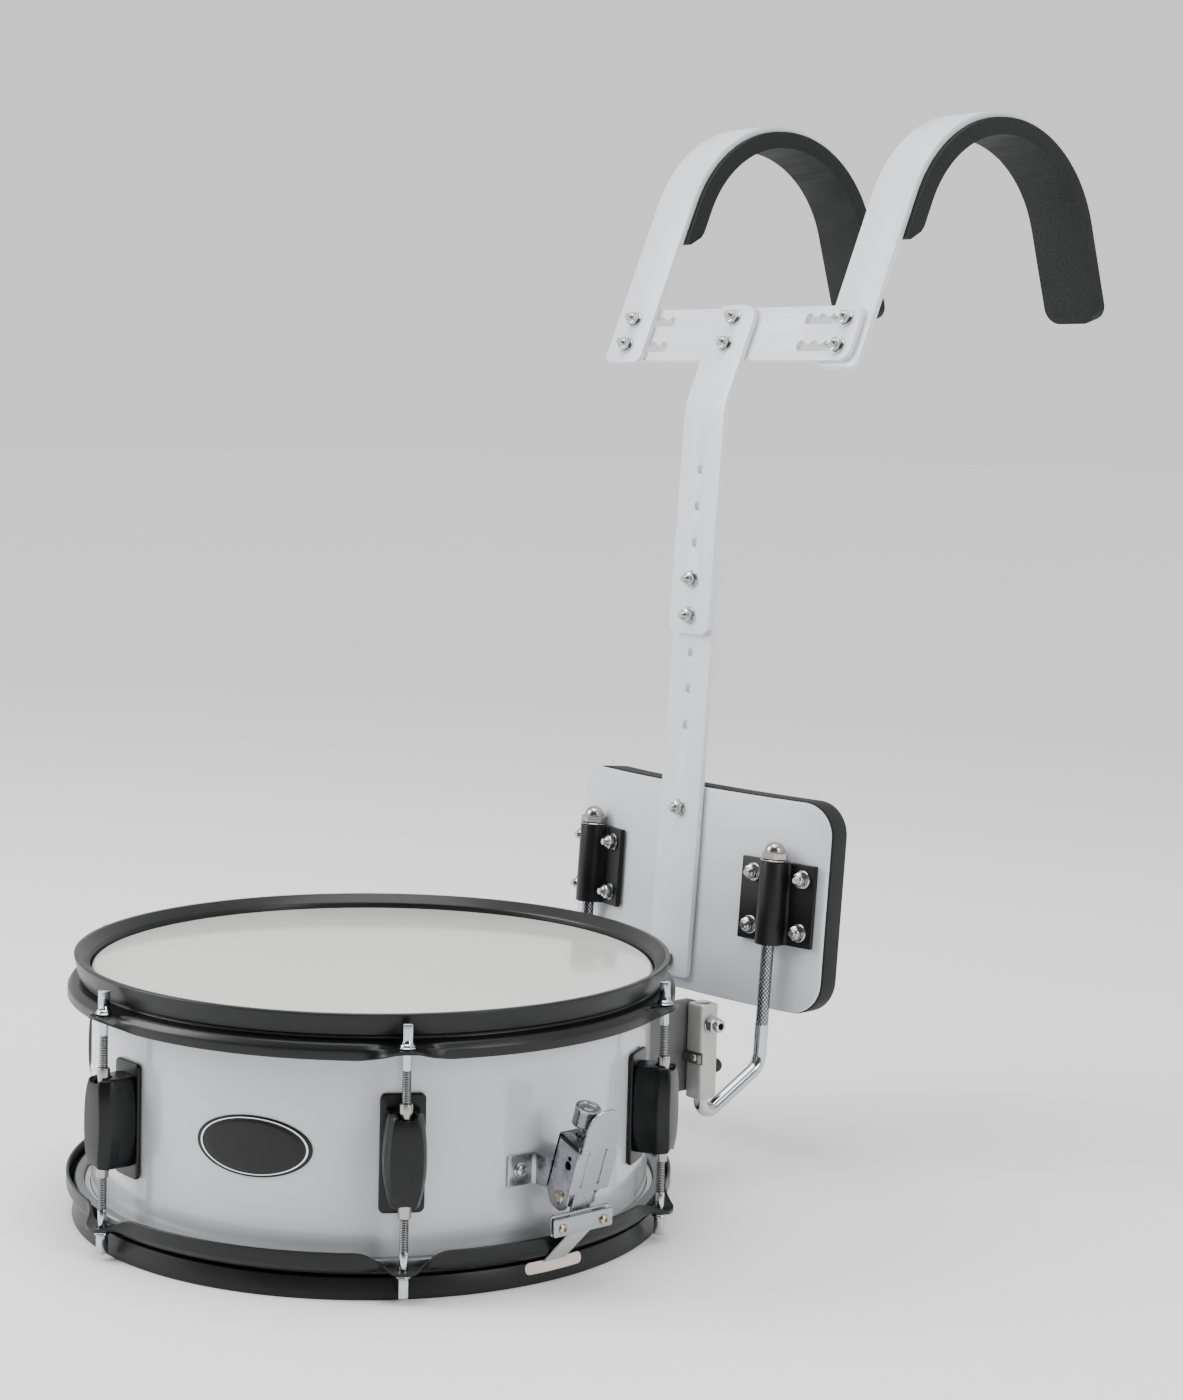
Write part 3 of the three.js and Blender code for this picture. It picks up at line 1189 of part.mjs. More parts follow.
function receiverBlockGeometry() {
  const left = RECEIVER_PLACE - RECEIVER_BLOCK_HALF_WIDTH;
  const right = RECEIVER_PLACE + RECEIVER_BLOCK_HALF_WIDTH;
  const near = HOOK_FAR - RECEIVER_BLOCK_HALF_WIDTH;
  const far = HOOK_FAR + RECEIVER_BLOCK_HALF_WIDTH;
  const bore = round(RECEIVER_PLACE, HOOK_FAR, RECEIVER_BORE, HOOK_SIDES);
  const block = slab(rectangle(left, near, right, far, RECEIVER_BLOCK_BEVEL, 1),
    'z', RECEIVER_LOW, RECEIVER_TOP, [bore]);
  const boltHole = alongX(RECEIVER_BOLT_RADIUS + BOLT_CLEARANCE, left - OVERRUN, right + OVERRUN,
    HOOK_FAR, UPPER_BOLT_UP);
  const notchHalf = COTTER_HEIGHT / 2 + GAP;
  const notch = box([left - OVERRUN, near - OVERRUN, COTTER_UP - notchHalf],
    [right + OVERRUN, COTTER_FAR + GAP, COTTER_UP + notchHalf]);
  return cut(block, boltHole, notch);
}

function addReceivers() {
  add('receiver_bracket_right', receiverBracketGeometry(), GREY_METAL);
  add('receiver_bracket_left', mirrored(receiverBracketGeometry()), GREY_METAL);
  add('receiver_block_right', receiverBlockGeometry(), GREY_METAL);
  add('receiver_block_left', mirrored(receiverBlockGeometry()), GREY_METAL);
}

addReceivers();

// Carrier. Its group leans back with the belly plate, and the yoke at its top leans further.

const carrier = new THREE.Group();
carrier.position.set(0, SHELL_RADIUS + PLATE_STANDOFF, PLATE_LOW);
carrier.rotation.x = -CARRIER_LEAN;
carrier.updateMatrix();
assembly.add(carrier);

const LOWER_BAR_BACK = -GAP;
const CLAMP_TOP = CLAMP_BLOCK_LOW + CLAMP_BLOCK_HEIGHT;
const UPPER_BAR_BACK = LOWER_BAR_BACK - BAR_THICKNESS - GAP;
const yoke = new THREE.Group();
yoke.position.set(0, UPPER_BAR_BACK, UPPER_BAR_BEND);
yoke.rotation.x = -UPPER_BAR_LEAN;
yoke.updateMatrix();
carrier.add(yoke);

const ROW_HIGH = UPPER_BAR_LENGTH - CROSS_ROW_BELOW_TOP;
const ROW_LOW = ROW_HIGH - CROSS_ROW_GAP;
const CROSS_FRONT = GAP;
const BEHIND_CROSS = CROSS_FRONT + BAR_THICKNESS + GAP;

function alongY(geometry, x, y, z) {
  return geometry.rotateX(Math.PI / 2).translate(x, y, z);
}

// Bolt with its head towards the drum and its shank running back from the seat
function frontBolt(x, seat, z, length, tail = 0) {
  return alongY(bolt(BOLT_RADIUS, BOLT_HEAD_RADIUS, BOLT_HEAD_HEIGHT, length, tail), x, seat, z);
}

function boltHole(x, z, from, to) {
  return alongY(rod(BOLT_RADIUS + BOLT_CLEARANCE, -to, -from, BOLT_SIDES), x, 0, z);
}

// Panel bent about a vertical axis behind it, with rounded corners
function bentPanel(halfAngle, low, high, corner, section) {
  const half = halfAngle * PLATE_CURVE_RADIUS;
  const insets = CURVE_SHARES.map((share) => corner * (1 - Math.cos(share * Math.PI / 2)));
  const stations = insets.map((inset) => inset - half);
  const inner = half - corner;
  for (let k = 1; k < PLATE_STEPS; k += 1) stations.push(inner * (2 * k / PLATE_STEPS - 1));
  insets.reverse().forEach((inset) => stations.push(half - inset));
  return loft(stations.map((s) => {
    const short = Math.max(Math.abs(s) - inner, 0);
    const drop = corner - Math.sqrt(Math.max(corner * corner - short * short, 0));
    const angle = s / PLATE_CURVE_RADIUS;
    return section(low + drop, high - drop).map(([depth, height]) => {
      const radius = PLATE_CURVE_RADIUS - depth;
      const back = PLATE_CURVE_RADIUS - radius * Math.cos(angle);
      return new THREE.Vector3(radius * Math.sin(angle), back, height);
    });
  }));
}

const CLAMP_ANGLE = Math.asin(RECEIVER_PLACE / (PLATE_CURVE_RADIUS + CLAMP_ROD_OFFSET));

// Places a shape drawn against the plate's middle at the clamp on one side
function atClamp(geometry, side) {
  return geometry.clone().translate(0, -PLATE_CURVE_RADIUS, 0).rotateZ(side * CLAMP_ANGLE)
    .translate(0, PLATE_CURVE_RADIUS, 0);
}

function clampBoltPlaces() {
  const middle = CLAMP_BLOCK_LOW + CLAMP_BLOCK_HEIGHT / 2;
  return [-1, 1].flatMap((side) => [-1, 1].map((rise) => [
    side * CLAMP_BOLT_PLACE,
    middle + rise * CLAMP_BOLT_RISE,
  ]));
}

function plateGeometry() {
  const plate = bentPanel(PLATE_HALF_ANGLE, 0, PLATE_HEIGHT, PLATE_CORNER, (low, high) => [
    [0, low],
    [0, high],
    [PLATE_THICKNESS, high],
    [PLATE_THICKNESS, low],
  ]);
  const behind = PLATE_THICKNESS + OVERRUN;
  const holes = [PLATE_BOLT_LOW, PLATE_BOLT_HIGH].map((z) => boltHole(0, z, -OVERRUN, behind));
  const sides = [-1, 1].flatMap((side) => clampBoltPlaces().map(([x, z]) => atClamp(
    boltHole(x, z, -OVERRUN, behind),
    side,
  )));
  return cut(plate, ...holes, ...sides);
}

// Foam sheet behind the plate, a little smaller and rounded towards the player
function bellyPadGeometry() {
  const near = PLATE_THICKNESS + GAP;
  const far = near + BELLY_PAD_THICKNESS;
  const soft = BELLY_PAD_SHRINK;
  const halfAngle = PLATE_HALF_ANGLE - BELLY_PAD_SHRINK / PLATE_CURVE_RADIUS;
  return bentPanel(halfAngle, soft, PLATE_HEIGHT - soft, PLATE_CORNER, (low, high) => [
    [near, low],
    [near, high],
    [far - soft, high],
    [far, high - soft],
    [far, low + soft],
    [far - soft, low],
  ]);
}

function barHole(x, z) {
  return box([x - BAR_HOLE_HALF_WIDTH, -BAR_WIDTH, z - BAR_HOLE_HALF_HEIGHT],
    [x + BAR_HOLE_HALF_WIDTH, BAR_WIDTH, z + BAR_HOLE_HALF_HEIGHT]);
}

function barHolePlaces() {
  const places = [];
  for (let k = 0; k < BAR_HOLE_COUNT; k += 1) places.push(BAR_HOLE_TOP - k * BAR_HOLE_PITCH);
  return places;
}

function lowerBarGeometry() {
  const front = LOWER_BAR_BACK - BAR_THICKNESS;
  const bar = bentBar(straight([front, LOWER_BAR_LOW], [front, LOWER_BAR_HIGH]), 0, BAR_WIDTH / 2,
    FLAT_SECTION(0, BAR_THICKNESS), BAR_CORNER);
  const bolts = [PLATE_BOLT_LOW, PLATE_BOLT_HIGH].map((z) => frontBolt(0, front + BITE, z,
    BAR_THICKNESS + PLATE_THICKNESS));
  const open = barHolePlaces().filter((z) => z < UPPER_BAR_LOW && z > LOWER_BAR_LOW);
  const joined = JUNCTION_HOLES.map((k) => boltHole(0, barHolePlaces()[k], front - OVERRUN, OVERRUN));
  return cut(fuse(bar, ...bolts), ...open.map((z) => barHole(0, z)), ...joined);
}

function upperBarGeometry() {
  const front = UPPER_BAR_BACK - BAR_THICKNESS;
  const top = new THREE.Vector3(0, -BAR_THICKNESS, UPPER_BAR_LENGTH).applyMatrix4(yoke.matrix);
  const bend = BAR_THICKNESS * Math.tan(UPPER_BAR_LEAN / 2);
  const path = [
    new THREE.Vector2(front, UPPER_BAR_LOW),
    new THREE.Vector2(front, UPPER_BAR_BEND + bend),
    new THREE.Vector2(top.y, top.z),
  ];
  const bar = bentBar(path, 0, BAR_WIDTH / 2, FLAT_SECTION(0, BAR_THICKNESS), 2 * BAR_CORNER);
  const nutSeat = LOWER_BAR_BACK + GAP;
  const reach = nutSeat + BOLT_HEAD_HEIGHT - front;
  const junction = JUNCTION_HOLES.flatMap((k) => {
    const z = barHolePlaces()[k];
    const nut = alongY(rod(BOLT_HEAD_RADIUS, -BOLT_HEAD_HEIGHT, 0, BOLT_SIDES), 0, nutSeat, z);
    return [frontBolt(0, front + BITE, z, reach), nut];
  });
  const centre = [ROW_LOW, ROW_HIGH].flatMap((z) => {
    const nut = alongY(rod(BOLT_HEAD_RADIUS, -BOLT_HEAD_HEIGHT, 0, BOLT_SIDES), 0, BEHIND_CROSS, z);
    return [frontBolt(0, BITE - BAR_THICKNESS, z, BEHIND_CROSS + BAR_THICKNESS + BOLT_HEAD_HEIGHT), nut];
  }).map((geometry) => geometry.applyMatrix4(yoke.matrix));
  const open = barHolePlaces().filter((z, k) => z > UPPER_BAR_LOW && !JUNCTION_HOLES.includes(k));
  return cut(fuse(bar, ...junction, ...centre), ...open.map((z) => barHole(0, z)));
}

// One adjusting slot: a straight channel with round notches along its upper edge
function adjustingSlot(side, z) {
  const from = side > 0 ? SLOT_START : -SLOT_END;
  const to = side > 0 ? SLOT_END : -SLOT_START;
  const channel = slab(rectangle(from, z - SLOT_HALF_HEIGHT, to, z + SLOT_HALF_HEIGHT), 'y',
    CROSS_FRONT - OVERRUN, CROSS_FRONT + BAR_THICKNESS + OVERRUN);
  const notches = [];
  for (let x = SLOT_START + SLOT_NOTCH_RADIUS; x < SLOT_END; x += SLOT_NOTCH_PITCH) {
    notches.push(alongY(rod(SLOT_NOTCH_RADIUS, -BAR_THICKNESS - OVERRUN, OVERRUN, ROD_SIDES), side * x,
      CROSS_FRONT - BITE, z + SLOT_NOTCH_RISE));
  }
  return fuse(channel, ...notches);
}

function crossBarGeometry() {
  const low = UPPER_BAR_LENGTH - CROSS_HEIGHT;
  const bar = slab(rectangle(-CROSS_HALF_WIDTH, low, CROSS_HALF_WIDTH, UPPER_BAR_LENGTH, CROSS_CORNER), 'y',
    CROSS_FRONT, CROSS_FRONT + BAR_THICKNESS);
  const rows = [ROW_LOW, ROW_HIGH];
  const slots = [-1, 1].flatMap((side) => rows.map((z) => adjustingSlot(side, z)));
  const holes = rows.map((z) => boltHole(0, z, CROSS_FRONT - OVERRUN, CROSS_FRONT + BAR_THICKNESS + OVERRUN));
  return cut(bar, ...slots, ...holes);
}

// Middle of the shoulder bar's front face, from its foot over the shoulder to its back end
function shoulderPath(inset = 0, from = 0) {
  const start = ROW_HIGH - SHOULDER_HANG + from;
  const spring = ROW_HIGH + SHOULDER_FRONT_RUN;
  const radius = SHOULDER_RADIUS - inset;
  const path = [new THREE.Vector2(inset, start)];
  for (let k = 0; k <= SHOULDER_ARC_STEPS; k += 1) {
    const angle = SHOULDER_TURN * k / SHOULDER_ARC_STEPS;
    const reach = SHOULDER_RADIUS - radius * Math.cos(angle);
    path.push(new THREE.Vector2(reach, spring + radius * Math.sin(angle)));
  }
  const heading = new THREE.Vector2(Math.sin(SHOULDER_TURN), Math.cos(SHOULDER_TURN));
  path.push(path.at(-1).clone().add(heading.multiplyScalar(SHOULDER_BACK_RUN)));
  return path;
}

function shoulderBarGeometry(side, front) {
  const path = shoulderPath();
  const bar = bentBar(path, side * SHOULDER_PLACE, SHOULDER_WIDTH / 2, FLAT_SECTION(0, BAR_THICKNESS),
    SHOULDER_CLIP).translate(0, front, 0);
  const behind = front > 0;
  const head = behind ? CROSS_FRONT - GAP : front + BITE;
  const end = behind ? front + BAR_THICKNESS - BITE : BEHIND_CROSS + BOLT_HEAD_HEIGHT;
  const bolts = [ROW_LOW, ROW_HIGH].flatMap((z) => {
    const x = side * SHOULDER_PLACE;
    const shank = frontBolt(x, head, z, end - head);
    if (behind) return [shank];
    return [shank, alongY(rod(BOLT_HEAD_RADIUS, -BOLT_HEAD_HEIGHT, 0, BOLT_SIDES), x, BEHIND_CROSS, z)];
  });
  return fuse(bar, ...bolts);
}

// Foam under the shoulder bar: flat on the bar, crowned towards the shoulder
function shoulderPadGeometry(side, front) {
  const section = SHOULDER_PAD_SHARES.map(([across, out]) => [across, out * SHOULDER_PAD_THICKNESS]);
  const path = shoulderPath(BAR_THICKNESS + GAP, SHOULDER_HANG + SHOULDER_PAD_START);
  const pad = bentBar(path, side * SHOULDER_PLACE, SHOULDER_PAD_WIDTH / 2, section, SHOULDER_CLIP);
  return pad.translate(0, front, 0);
}

// Half round clamp with a flange each side, bolted to the plate
function rodClampGeometry() {
  const back = -GAP;
  const face = back - CLAMP_FLANGE_THICKNESS;
  const half = CLAMP_BLOCK_WIDTH / 2;
  const outer = CLAMP_CHANNEL_RADIUS + CLAMP_FLANGE_THICKNESS / 2;
  const points = [[-half, back], [-half, face], [-outer, face]].map(([x, y]) => new THREE.Vector2(x, y));
  for (let k = 1; k < ROD_SIDES; k += 1) {
    const angle = Math.PI * k / ROD_SIDES;
    points.push(new THREE.Vector2(-outer * Math.cos(angle), -CLAMP_ROD_OFFSET - outer * Math.sin(angle)));
  }
  points.push(new THREE.Vector2(outer, face), new THREE.Vector2(half, face), new THREE.Vector2(half, back));
  const bore = round(0, -CLAMP_ROD_OFFSET, HOOK_RADIUS + WINDOW_CLEARANCE, HOOK_SIDES);
  const body = slab(new THREE.Shape(points), 'z', CLAMP_BLOCK_LOW, CLAMP_TOP, [bore]);
  const bolts = clampBoltPlaces().map(([x, z]) => frontBolt(x, face + BITE, z,
    CLAMP_FLANGE_THICKNESS + PLATE_THICKNESS, BOLT_TAIL));
  return fuse(body, ...bolts);
}

// Rod axis at the clamps, in the carrier's frame
const ROD_AXIS = new THREE.Vector3(0, -CLAMP_ROD_OFFSET - PLATE_CURVE_RADIUS, 0)
  .applyAxisAngle(AXIS_Z, CLAMP_ANGLE).add(new THREE.Vector3(0, PLATE_CURVE_RADIUS, 0));

// Round rod from the cap nut down through the clamp, forward under the receiver and up into it
function hookRodGeometry(side) {
  const inCarrier = (y, z) => new THREE.Vector3(ROD_AXIS.x, y, z).applyMatrix4(carrier.matrix);
  const top = inCarrier(ROD_AXIS.y, CLAMP_TOP + CAP_NUT_HEX_HEIGHT);
  const bend = RECEIVER_TOP - HOOK_BEND_DROP;
  const heel = bend + HOOK_SLANT_RISE;
  const drop = (top.z - heel) * Math.tan(CARRIER_LEAN);
  const path = bentPath([
    [top.y, top.z],
    [top.y - drop, heel, HOOK_CORNER],
    [HOOK_FAR, bend, HOOK_TIP_CORNER],
    [HOOK_FAR, RECEIVER_TOP - HOOK_TIP_DROP],
  ]);
  return bentRod(path, side * ROD_AXIS.x, HOOK_RADIUS, HOOK_SIDES);
}

function capNutGeometry() {
  const seat = CLAMP_TOP + GAP;
  const bore = HOOK_RADIUS + WINDOW_CLEARANCE;
  const hex = turned([
    [bore, seat],
    [CAP_NUT_RADIUS, seat],
    [CAP_NUT_RADIUS, seat + CAP_NUT_HEX_HEIGHT],
    [CAP_NUT_RADIUS * CAP_NUT_SHOULDER_SHARE, seat + CAP_NUT_HEIGHT - CAP_NUT_HEX_HEIGHT / 3],
    [CAP_NUT_RADIUS * CAP_NUT_CROWN_SHARE, seat + CAP_NUT_HEIGHT],
    [0, seat + CAP_NUT_HEIGHT],
    [0, seat + CAP_NUT_HEX_HEIGHT + GAP],
    [bore, seat + CAP_NUT_HEX_HEIGHT + GAP],
  ], HOOK_SIDES, true);
  return hex.translate(0, -CLAMP_ROD_OFFSET, 0);
}

function addCarrier() {
  add('belly_plate', plateGeometry(), WHITE, carrier);
  add('belly_pad', bellyPadGeometry(), FOAM, carrier);
  add('lower_bar', lowerBarGeometry(), WHITE, carrier);
  add('upper_bar', upperBarGeometry(), WHITE, carrier);
  add('cross_bar', crossBarGeometry(), WHITE, yoke);
  [['left', -1, -BAR_THICKNESS], ['right', 1, BEHIND_CROSS]].forEach(([name, side, front]) => {
    add(`shoulder_bar_${name}`, shoulderBarGeometry(side, front), WHITE, yoke);
    add(`shoulder_pad_${name}`, shoulderPadGeometry(side, front), FOAM, yoke);
    add(`rod_clamp_${name}`, atClamp(rodClampGeometry(), side), BLACK_METAL, carrier);
    add(`hook_rod_${name}`, hookRodGeometry(side), CHROME);
    add(`cap_nut_${name}`, atClamp(capNutGeometry(), side), CHROME, carrier);
  });
}

addCarrier();

// The origin lies on the floor under the middle of the whole object
const bounds = new THREE.Box3().setFromObject(assembly, true);
const middle = bounds.getCenter(new THREE.Vector3());
assembly.position.set(-middle.x, -middle.y, -bounds.min.z);

export default assembly;
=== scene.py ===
"""Marching snare drum on its shoulder carrier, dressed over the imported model."""
from math import asin, atan2, cos, degrees, hypot, pi, radians, sin, sqrt, tan

import bmesh
import bpy
from mathutils import Matrix, Vector


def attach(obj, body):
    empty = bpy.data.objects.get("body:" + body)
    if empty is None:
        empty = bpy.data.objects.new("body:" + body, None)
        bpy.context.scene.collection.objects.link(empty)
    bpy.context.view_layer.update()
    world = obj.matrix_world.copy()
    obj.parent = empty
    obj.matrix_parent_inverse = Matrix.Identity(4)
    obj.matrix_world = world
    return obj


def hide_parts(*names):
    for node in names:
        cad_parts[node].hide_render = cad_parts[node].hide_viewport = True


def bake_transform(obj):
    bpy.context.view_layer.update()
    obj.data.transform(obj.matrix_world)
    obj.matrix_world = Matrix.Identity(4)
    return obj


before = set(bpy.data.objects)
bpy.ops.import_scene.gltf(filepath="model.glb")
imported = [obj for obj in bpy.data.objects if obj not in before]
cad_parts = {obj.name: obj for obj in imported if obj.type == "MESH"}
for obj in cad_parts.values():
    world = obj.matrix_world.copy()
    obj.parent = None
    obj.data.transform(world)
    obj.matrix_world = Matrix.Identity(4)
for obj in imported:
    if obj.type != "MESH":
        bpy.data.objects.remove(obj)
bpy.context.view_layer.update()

# ---------------------------------------------------------------- frames, in millimetres

MM = 0.001
AS_DRAWN = Matrix.Identity(4)
DRUM = Matrix.Translation((-9.3295, -174.1906, 0))
HEIGHT = 165.6  # over both rims
MID = HEIGHT / 2
SHELL = 176.5  # the shell's outer radius
SEAT = SHELL + 0.3  # where metal lies on the lacquer
ROD_CIRCLE = 194.7
STRAINER = DRUM @ Matrix.Translation((201.8, 0, 54.8)) @ Matrix.Rotation(radians(18), 4, "Y")
CARRIER = DRUM @ Matrix.Translation((0, 254.4, 109)) @ Matrix.Rotation(-0.0643, 4, "X")
YOKE = CARRIER @ Matrix.Translation((0, -4.6, 406)) @ Matrix.Rotation(-0.33, 4, "X")
PLATE_CURVE = 479.0  # radius that the belly plate is rolled to
ROD_OFFSET = 9.6  # a hook rod's middle in front of the plate
CLAMP_ANGLE = 0.1936  # a rod clamp's place round the plate, in radians
BAR = 4.0  # thickness of the plate and of every flat bar
LUGS = 6


def move(x=0.0, y=0.0, z=0.0):
    return Matrix.Translation((x, y, z))


def turn(angle, axis):
    """Turn about one axis by an angle in degrees."""
    return Matrix.Rotation(radians(angle), 4, axis)


def mirror_x():
    return Matrix.Scale(-1, 4, (1, 0, 0))


def overturned():
    """Turns a shape over about the drum's middle height."""
    return move(z=HEIGHT) @ Matrix.Scale(-1, 4, (0, 0, 1))


TO_X = Matrix(((0, 0, 1, 0), (1, 0, 0, 0), (0, 1, 0, 0), (0, 0, 0, 1)))  # a sheet that faces +X
TO_Y = Matrix(((1, 0, 0, 0), (0, 0, 1, 0), (0, 1, 0, 0), (0, 0, 0, 1)))  # a sheet that faces +Y


def at_lug(number):
    """Place of lug 1 to 6: the first is in front and the count runs towards +X."""
    return DRUM @ turn(60 * (number - 1), "Z")


# ---------------------------------------------------------------- finishes


class Value:
    """One output of a shader node, usable in plain sums."""

    def __init__(self, finish, socket):
        self.finish = finish
        self.socket = socket

    def _sum(self, operation, first, second):
        return self.finish.add("Math", {"operation": operation}, {0: first, 1: second})

    def __add__(self, other):
        return self._sum("ADD", self, other)

    def __radd__(self, other):
        return self._sum("ADD", other, self)

    def __sub__(self, other):
        return self._sum("SUBTRACT", self, other)

    def __rsub__(self, other):
        return self._sum("SUBTRACT", other, self)

    def __mul__(self, other):
        return self._sum("MULTIPLY", self, other)

    def __rmul__(self, other):
        return self._sum("MULTIPLY", other, self)

    def __pow__(self, other):
        return self._sum("POWER", self, other)

    def __gt__(self, other):
        return self._sum("GREATER_THAN", self, other)

    def __lt__(self, other):
        return self._sum("LESS_THAN", self, other)

    def wave(self):
        return self.finish.add("Math", {"operation": "SINE"}, {0: self})

    def smooth(self, low, high):
        """0 below low, 1 above high, smooth between."""
        settings = {"interpolation_type": "SMOOTHSTEP"}
        return self.finish.add("MapRange", settings, {0: self, 1: low, 2: high, 3: 0.0, 4: 1.0})


class Finish:
    """A material, with the base colour and gloss that a surface has before its detail."""

    def __init__(self, name, colour, roughness, metallic=0.0, **fixed):
        self.material = bpy.data.materials.new(name)
        self.material.use_nodes = True
        self.material.diffuse_color = (*colour, 1)
        self.tree = self.material.node_tree
        self.surface = self.tree.nodes["Principled BSDF"]
        self.colour = colour
        self.set("Base Color", (*colour, 1))
        self.set("Roughness", roughness)
        self.set("Metallic", metallic)
        for label, value in fixed.items():
            self.set(label.replace("_", " ").title().replace("Ior", "IOR"), value)

    def set(self, label, value):
        """A number or colour goes on the surface's own socket, a Value is linked to it."""
        if isinstance(value, Value):
            self.tree.links.new(value.socket, self.surface.inputs[label])
        else:
            self.surface.inputs[label].default_value = value

    def add(self, kind, settings=None, sockets=None, output=0):
        """One node: its settings come first, then the numbers, colours or links of its sockets."""
        node = self.tree.nodes.new("ShaderNode" + kind)
        for label, value in (settings or {}).items():
            setattr(node, label, value)
        for label, value in (sockets or {}).items():
            if isinstance(value, Value):
                self.tree.links.new(value.socket, node.inputs[label])
            elif hasattr(value, "__len__") and node.inputs[label].type == "RGBA":
                node.inputs[label].default_value = (*value, 1)
            else:
                node.inputs[label].default_value = value
        return Value(self, node.outputs[output])

    def place(self, stretch):
        """Object coordinates in metres, stretched along each axis."""
        here = self.add("TexCoord", output="Object")
        return self.add("Mapping", {}, {"Vector": here, "Scale": stretch})

    def noise(self, scale, detail, stretch=(1, 1, 1)):
        sockets = {"Vector": self.place(stretch), "Scale": scale, "Detail": detail}
        return self.add("TexNoise", {}, sockets)

    def cells(self, scale):
        return self.add("TexVoronoi", {}, {"Vector": self.place((1, 1, 1)), "Scale": scale})

    def across(self, axis):
        """One object coordinate in metres."""
        return self.add("SeparateXYZ", {}, {0: self.add("TexCoord", output="Object")}, axis)

    def mix(self, share, first, second):
        return self.add("Mix", {"data_type": "RGBA"}, {0: share, 6: first, 7: second}, 2)

    def tint(self, share, strength):
        """Base colour that gets lighter and darker with share."""
        dark = [c * (1 - strength) for c in self.colour]
        light = [min(c * (1 + strength), 1) for c in self.colour]
        self.set("Base Color", self.mix(share, dark, light))

    def relief(self, height, depth, strength=1.0):
        """Bump whose full height is depth metres."""
        bump = self.add("Bump", {}, {"Height": height, "Distance": depth, "Strength": strength})
        self.set("Normal", bump)


def shell_lacquer():
    finish = Finish("shell_lacquer", (0.56, 0.565, 0.60), 0.2, coat_ior=1.5, coat_roughness=0.06)
    cloud = finish.noise(7, 3)
    finish.tint(cloud, 0.035)
    finish.set("Coat Weight", 0.55 + 0.25 * cloud)
    finish.set("Roughness", 0.17 + 0.1 * finish.noise(60, 4))
    finish.relief(finish.noise(220, 2), 0.00006, 0.5)
    return finish.material


def drum_film():
    """Coated film: fine sprayed grain over faint broad clouds."""
    finish = Finish("drum_film", (0.63, 0.625, 0.61), 0.2)
    cloud = finish.noise(11, 4)
    grain = finish.noise(1500, 3)
    finish.tint(0.7 * cloud + 0.3 * grain, 0.05)
    finish.set("Roughness", 0.05 + 0.07 * cloud)
    finish.relief(grain, 0.00003, 0.3)
    return finish.material


def hoop_enamel():
    finish = Finish("hoop_enamel", (0.004, 0.0043, 0.0043), 0.38, coat_roughness=0.2,
                    specular_ior_level=0.28)
    cloud = finish.noise(30, 4)
    finish.tint(cloud, 0.35)
    finish.set("Coat Weight", 0.08 + 0.1 * cloud)
    finish.set("Roughness", 0.32 + 0.16 * cloud)
    finish.relief(finish.noise(700, 3), 0.00007, 0.5)
    return finish.material


def lug_enamel():
    """Satin black over a casting, with faint upright drawing lines."""
    finish = Finish("lug_enamel", (0.004, 0.0044, 0.0044), 0.3, specular_ior_level=0.3)
    lines = finish.noise(420, 3, (1, 1, 0.04))
    finish.tint(lines, 0.5)
    finish.set("Roughness", 0.22 + 0.16 * lines)
    finish.relief(0.6 * lines + 0.4 * finish.noise(900, 2), 0.00008, 0.5)
    return finish.material


def carrier_enamel():
    finish = Finish("carrier_enamel", (0.003, 0.0032, 0.0034), 0.4, specular_ior_level=0.3)
    cloud = finish.noise(45, 4)
    finish.tint(cloud, 0.4)
    finish.set("Roughness", 0.3 + 0.2 * cloud)
    finish.relief(finish.noise(1300, 2), 0.0001, 0.6)
    return finish.material


def bright_metal(name, colour, roughness, spots):
    """Plated metal: clear reflections broken by faint clouds and fine handling marks."""
    finish = Finish(name, colour, roughness, 1.0)
    cloud = finish.noise(spots, 4)
    marks = finish.noise(spots * 9, 3, (1, 1, 0.3))
    finish.tint(cloud, 0.1)
    finish.set("Roughness", roughness * (0.75 + 0.5 * cloud) + 0.05 * marks)
    finish.relief(marks, 0.00003, 0.4)
    return finish.material


def powder_white():
    """White coat over drawn bar: fine lengthwise lines and a faint orange peel."""
    finish = Finish("powder_white", (0.68, 0.69, 0.735), 0.36, coat_roughness=0.2)
    lines = finish.noise(600, 2, (1, 1, 0.012))
    peel = finish.noise(900, 2)
    cloud = finish.noise(9, 3)
    finish.tint(0.5 * cloud + 0.5 * lines, 0.045)
    finish.set("Coat Weight", 0.2 + 0.2 * cloud)
    finish.set("Roughness", 0.3 + 0.12 * lines)
    finish.relief(0.55 * lines + 0.45 * peel, 0.00009, 0.55)
    return finish.material


def plate_white():
    """The belly plate's coat, with a few specks that a used plate has."""
    finish = Finish("plate_white", (0.60, 0.615, 0.655), 0.34, coat_roughness=0.2)
    peel = finish.noise(700, 3)
    cloud = finish.noise(8, 3)
    speck = finish.cells(260) < 0.09
    finish.tint(cloud - 0.5 * speck * (finish.noise(40, 2) > 0.62), 0.05)
    finish.set("Coat Weight", 0.2 + 0.2 * cloud)
    finish.set("Roughness", 0.28 + 0.16 * finish.noise(25, 3))
    finish.relief(peel, 0.00012, 0.5)
    return finish.material


def blasted_grey(name, colour):
    """Bead blasted grey metal with fine pits."""
    finish = Finish(name, colour, 0.42, 0.6)
    cloud = finish.noise(60, 4)
    pits = finish.noise(1600, 3)
    finish.tint(0.6 * cloud + 0.4 * pits, 0.22)
    finish.set("Roughness", 0.4 + 0.2 * pits)
    finish.relief(pits, 0.00012, 0.6)
    return finish.material


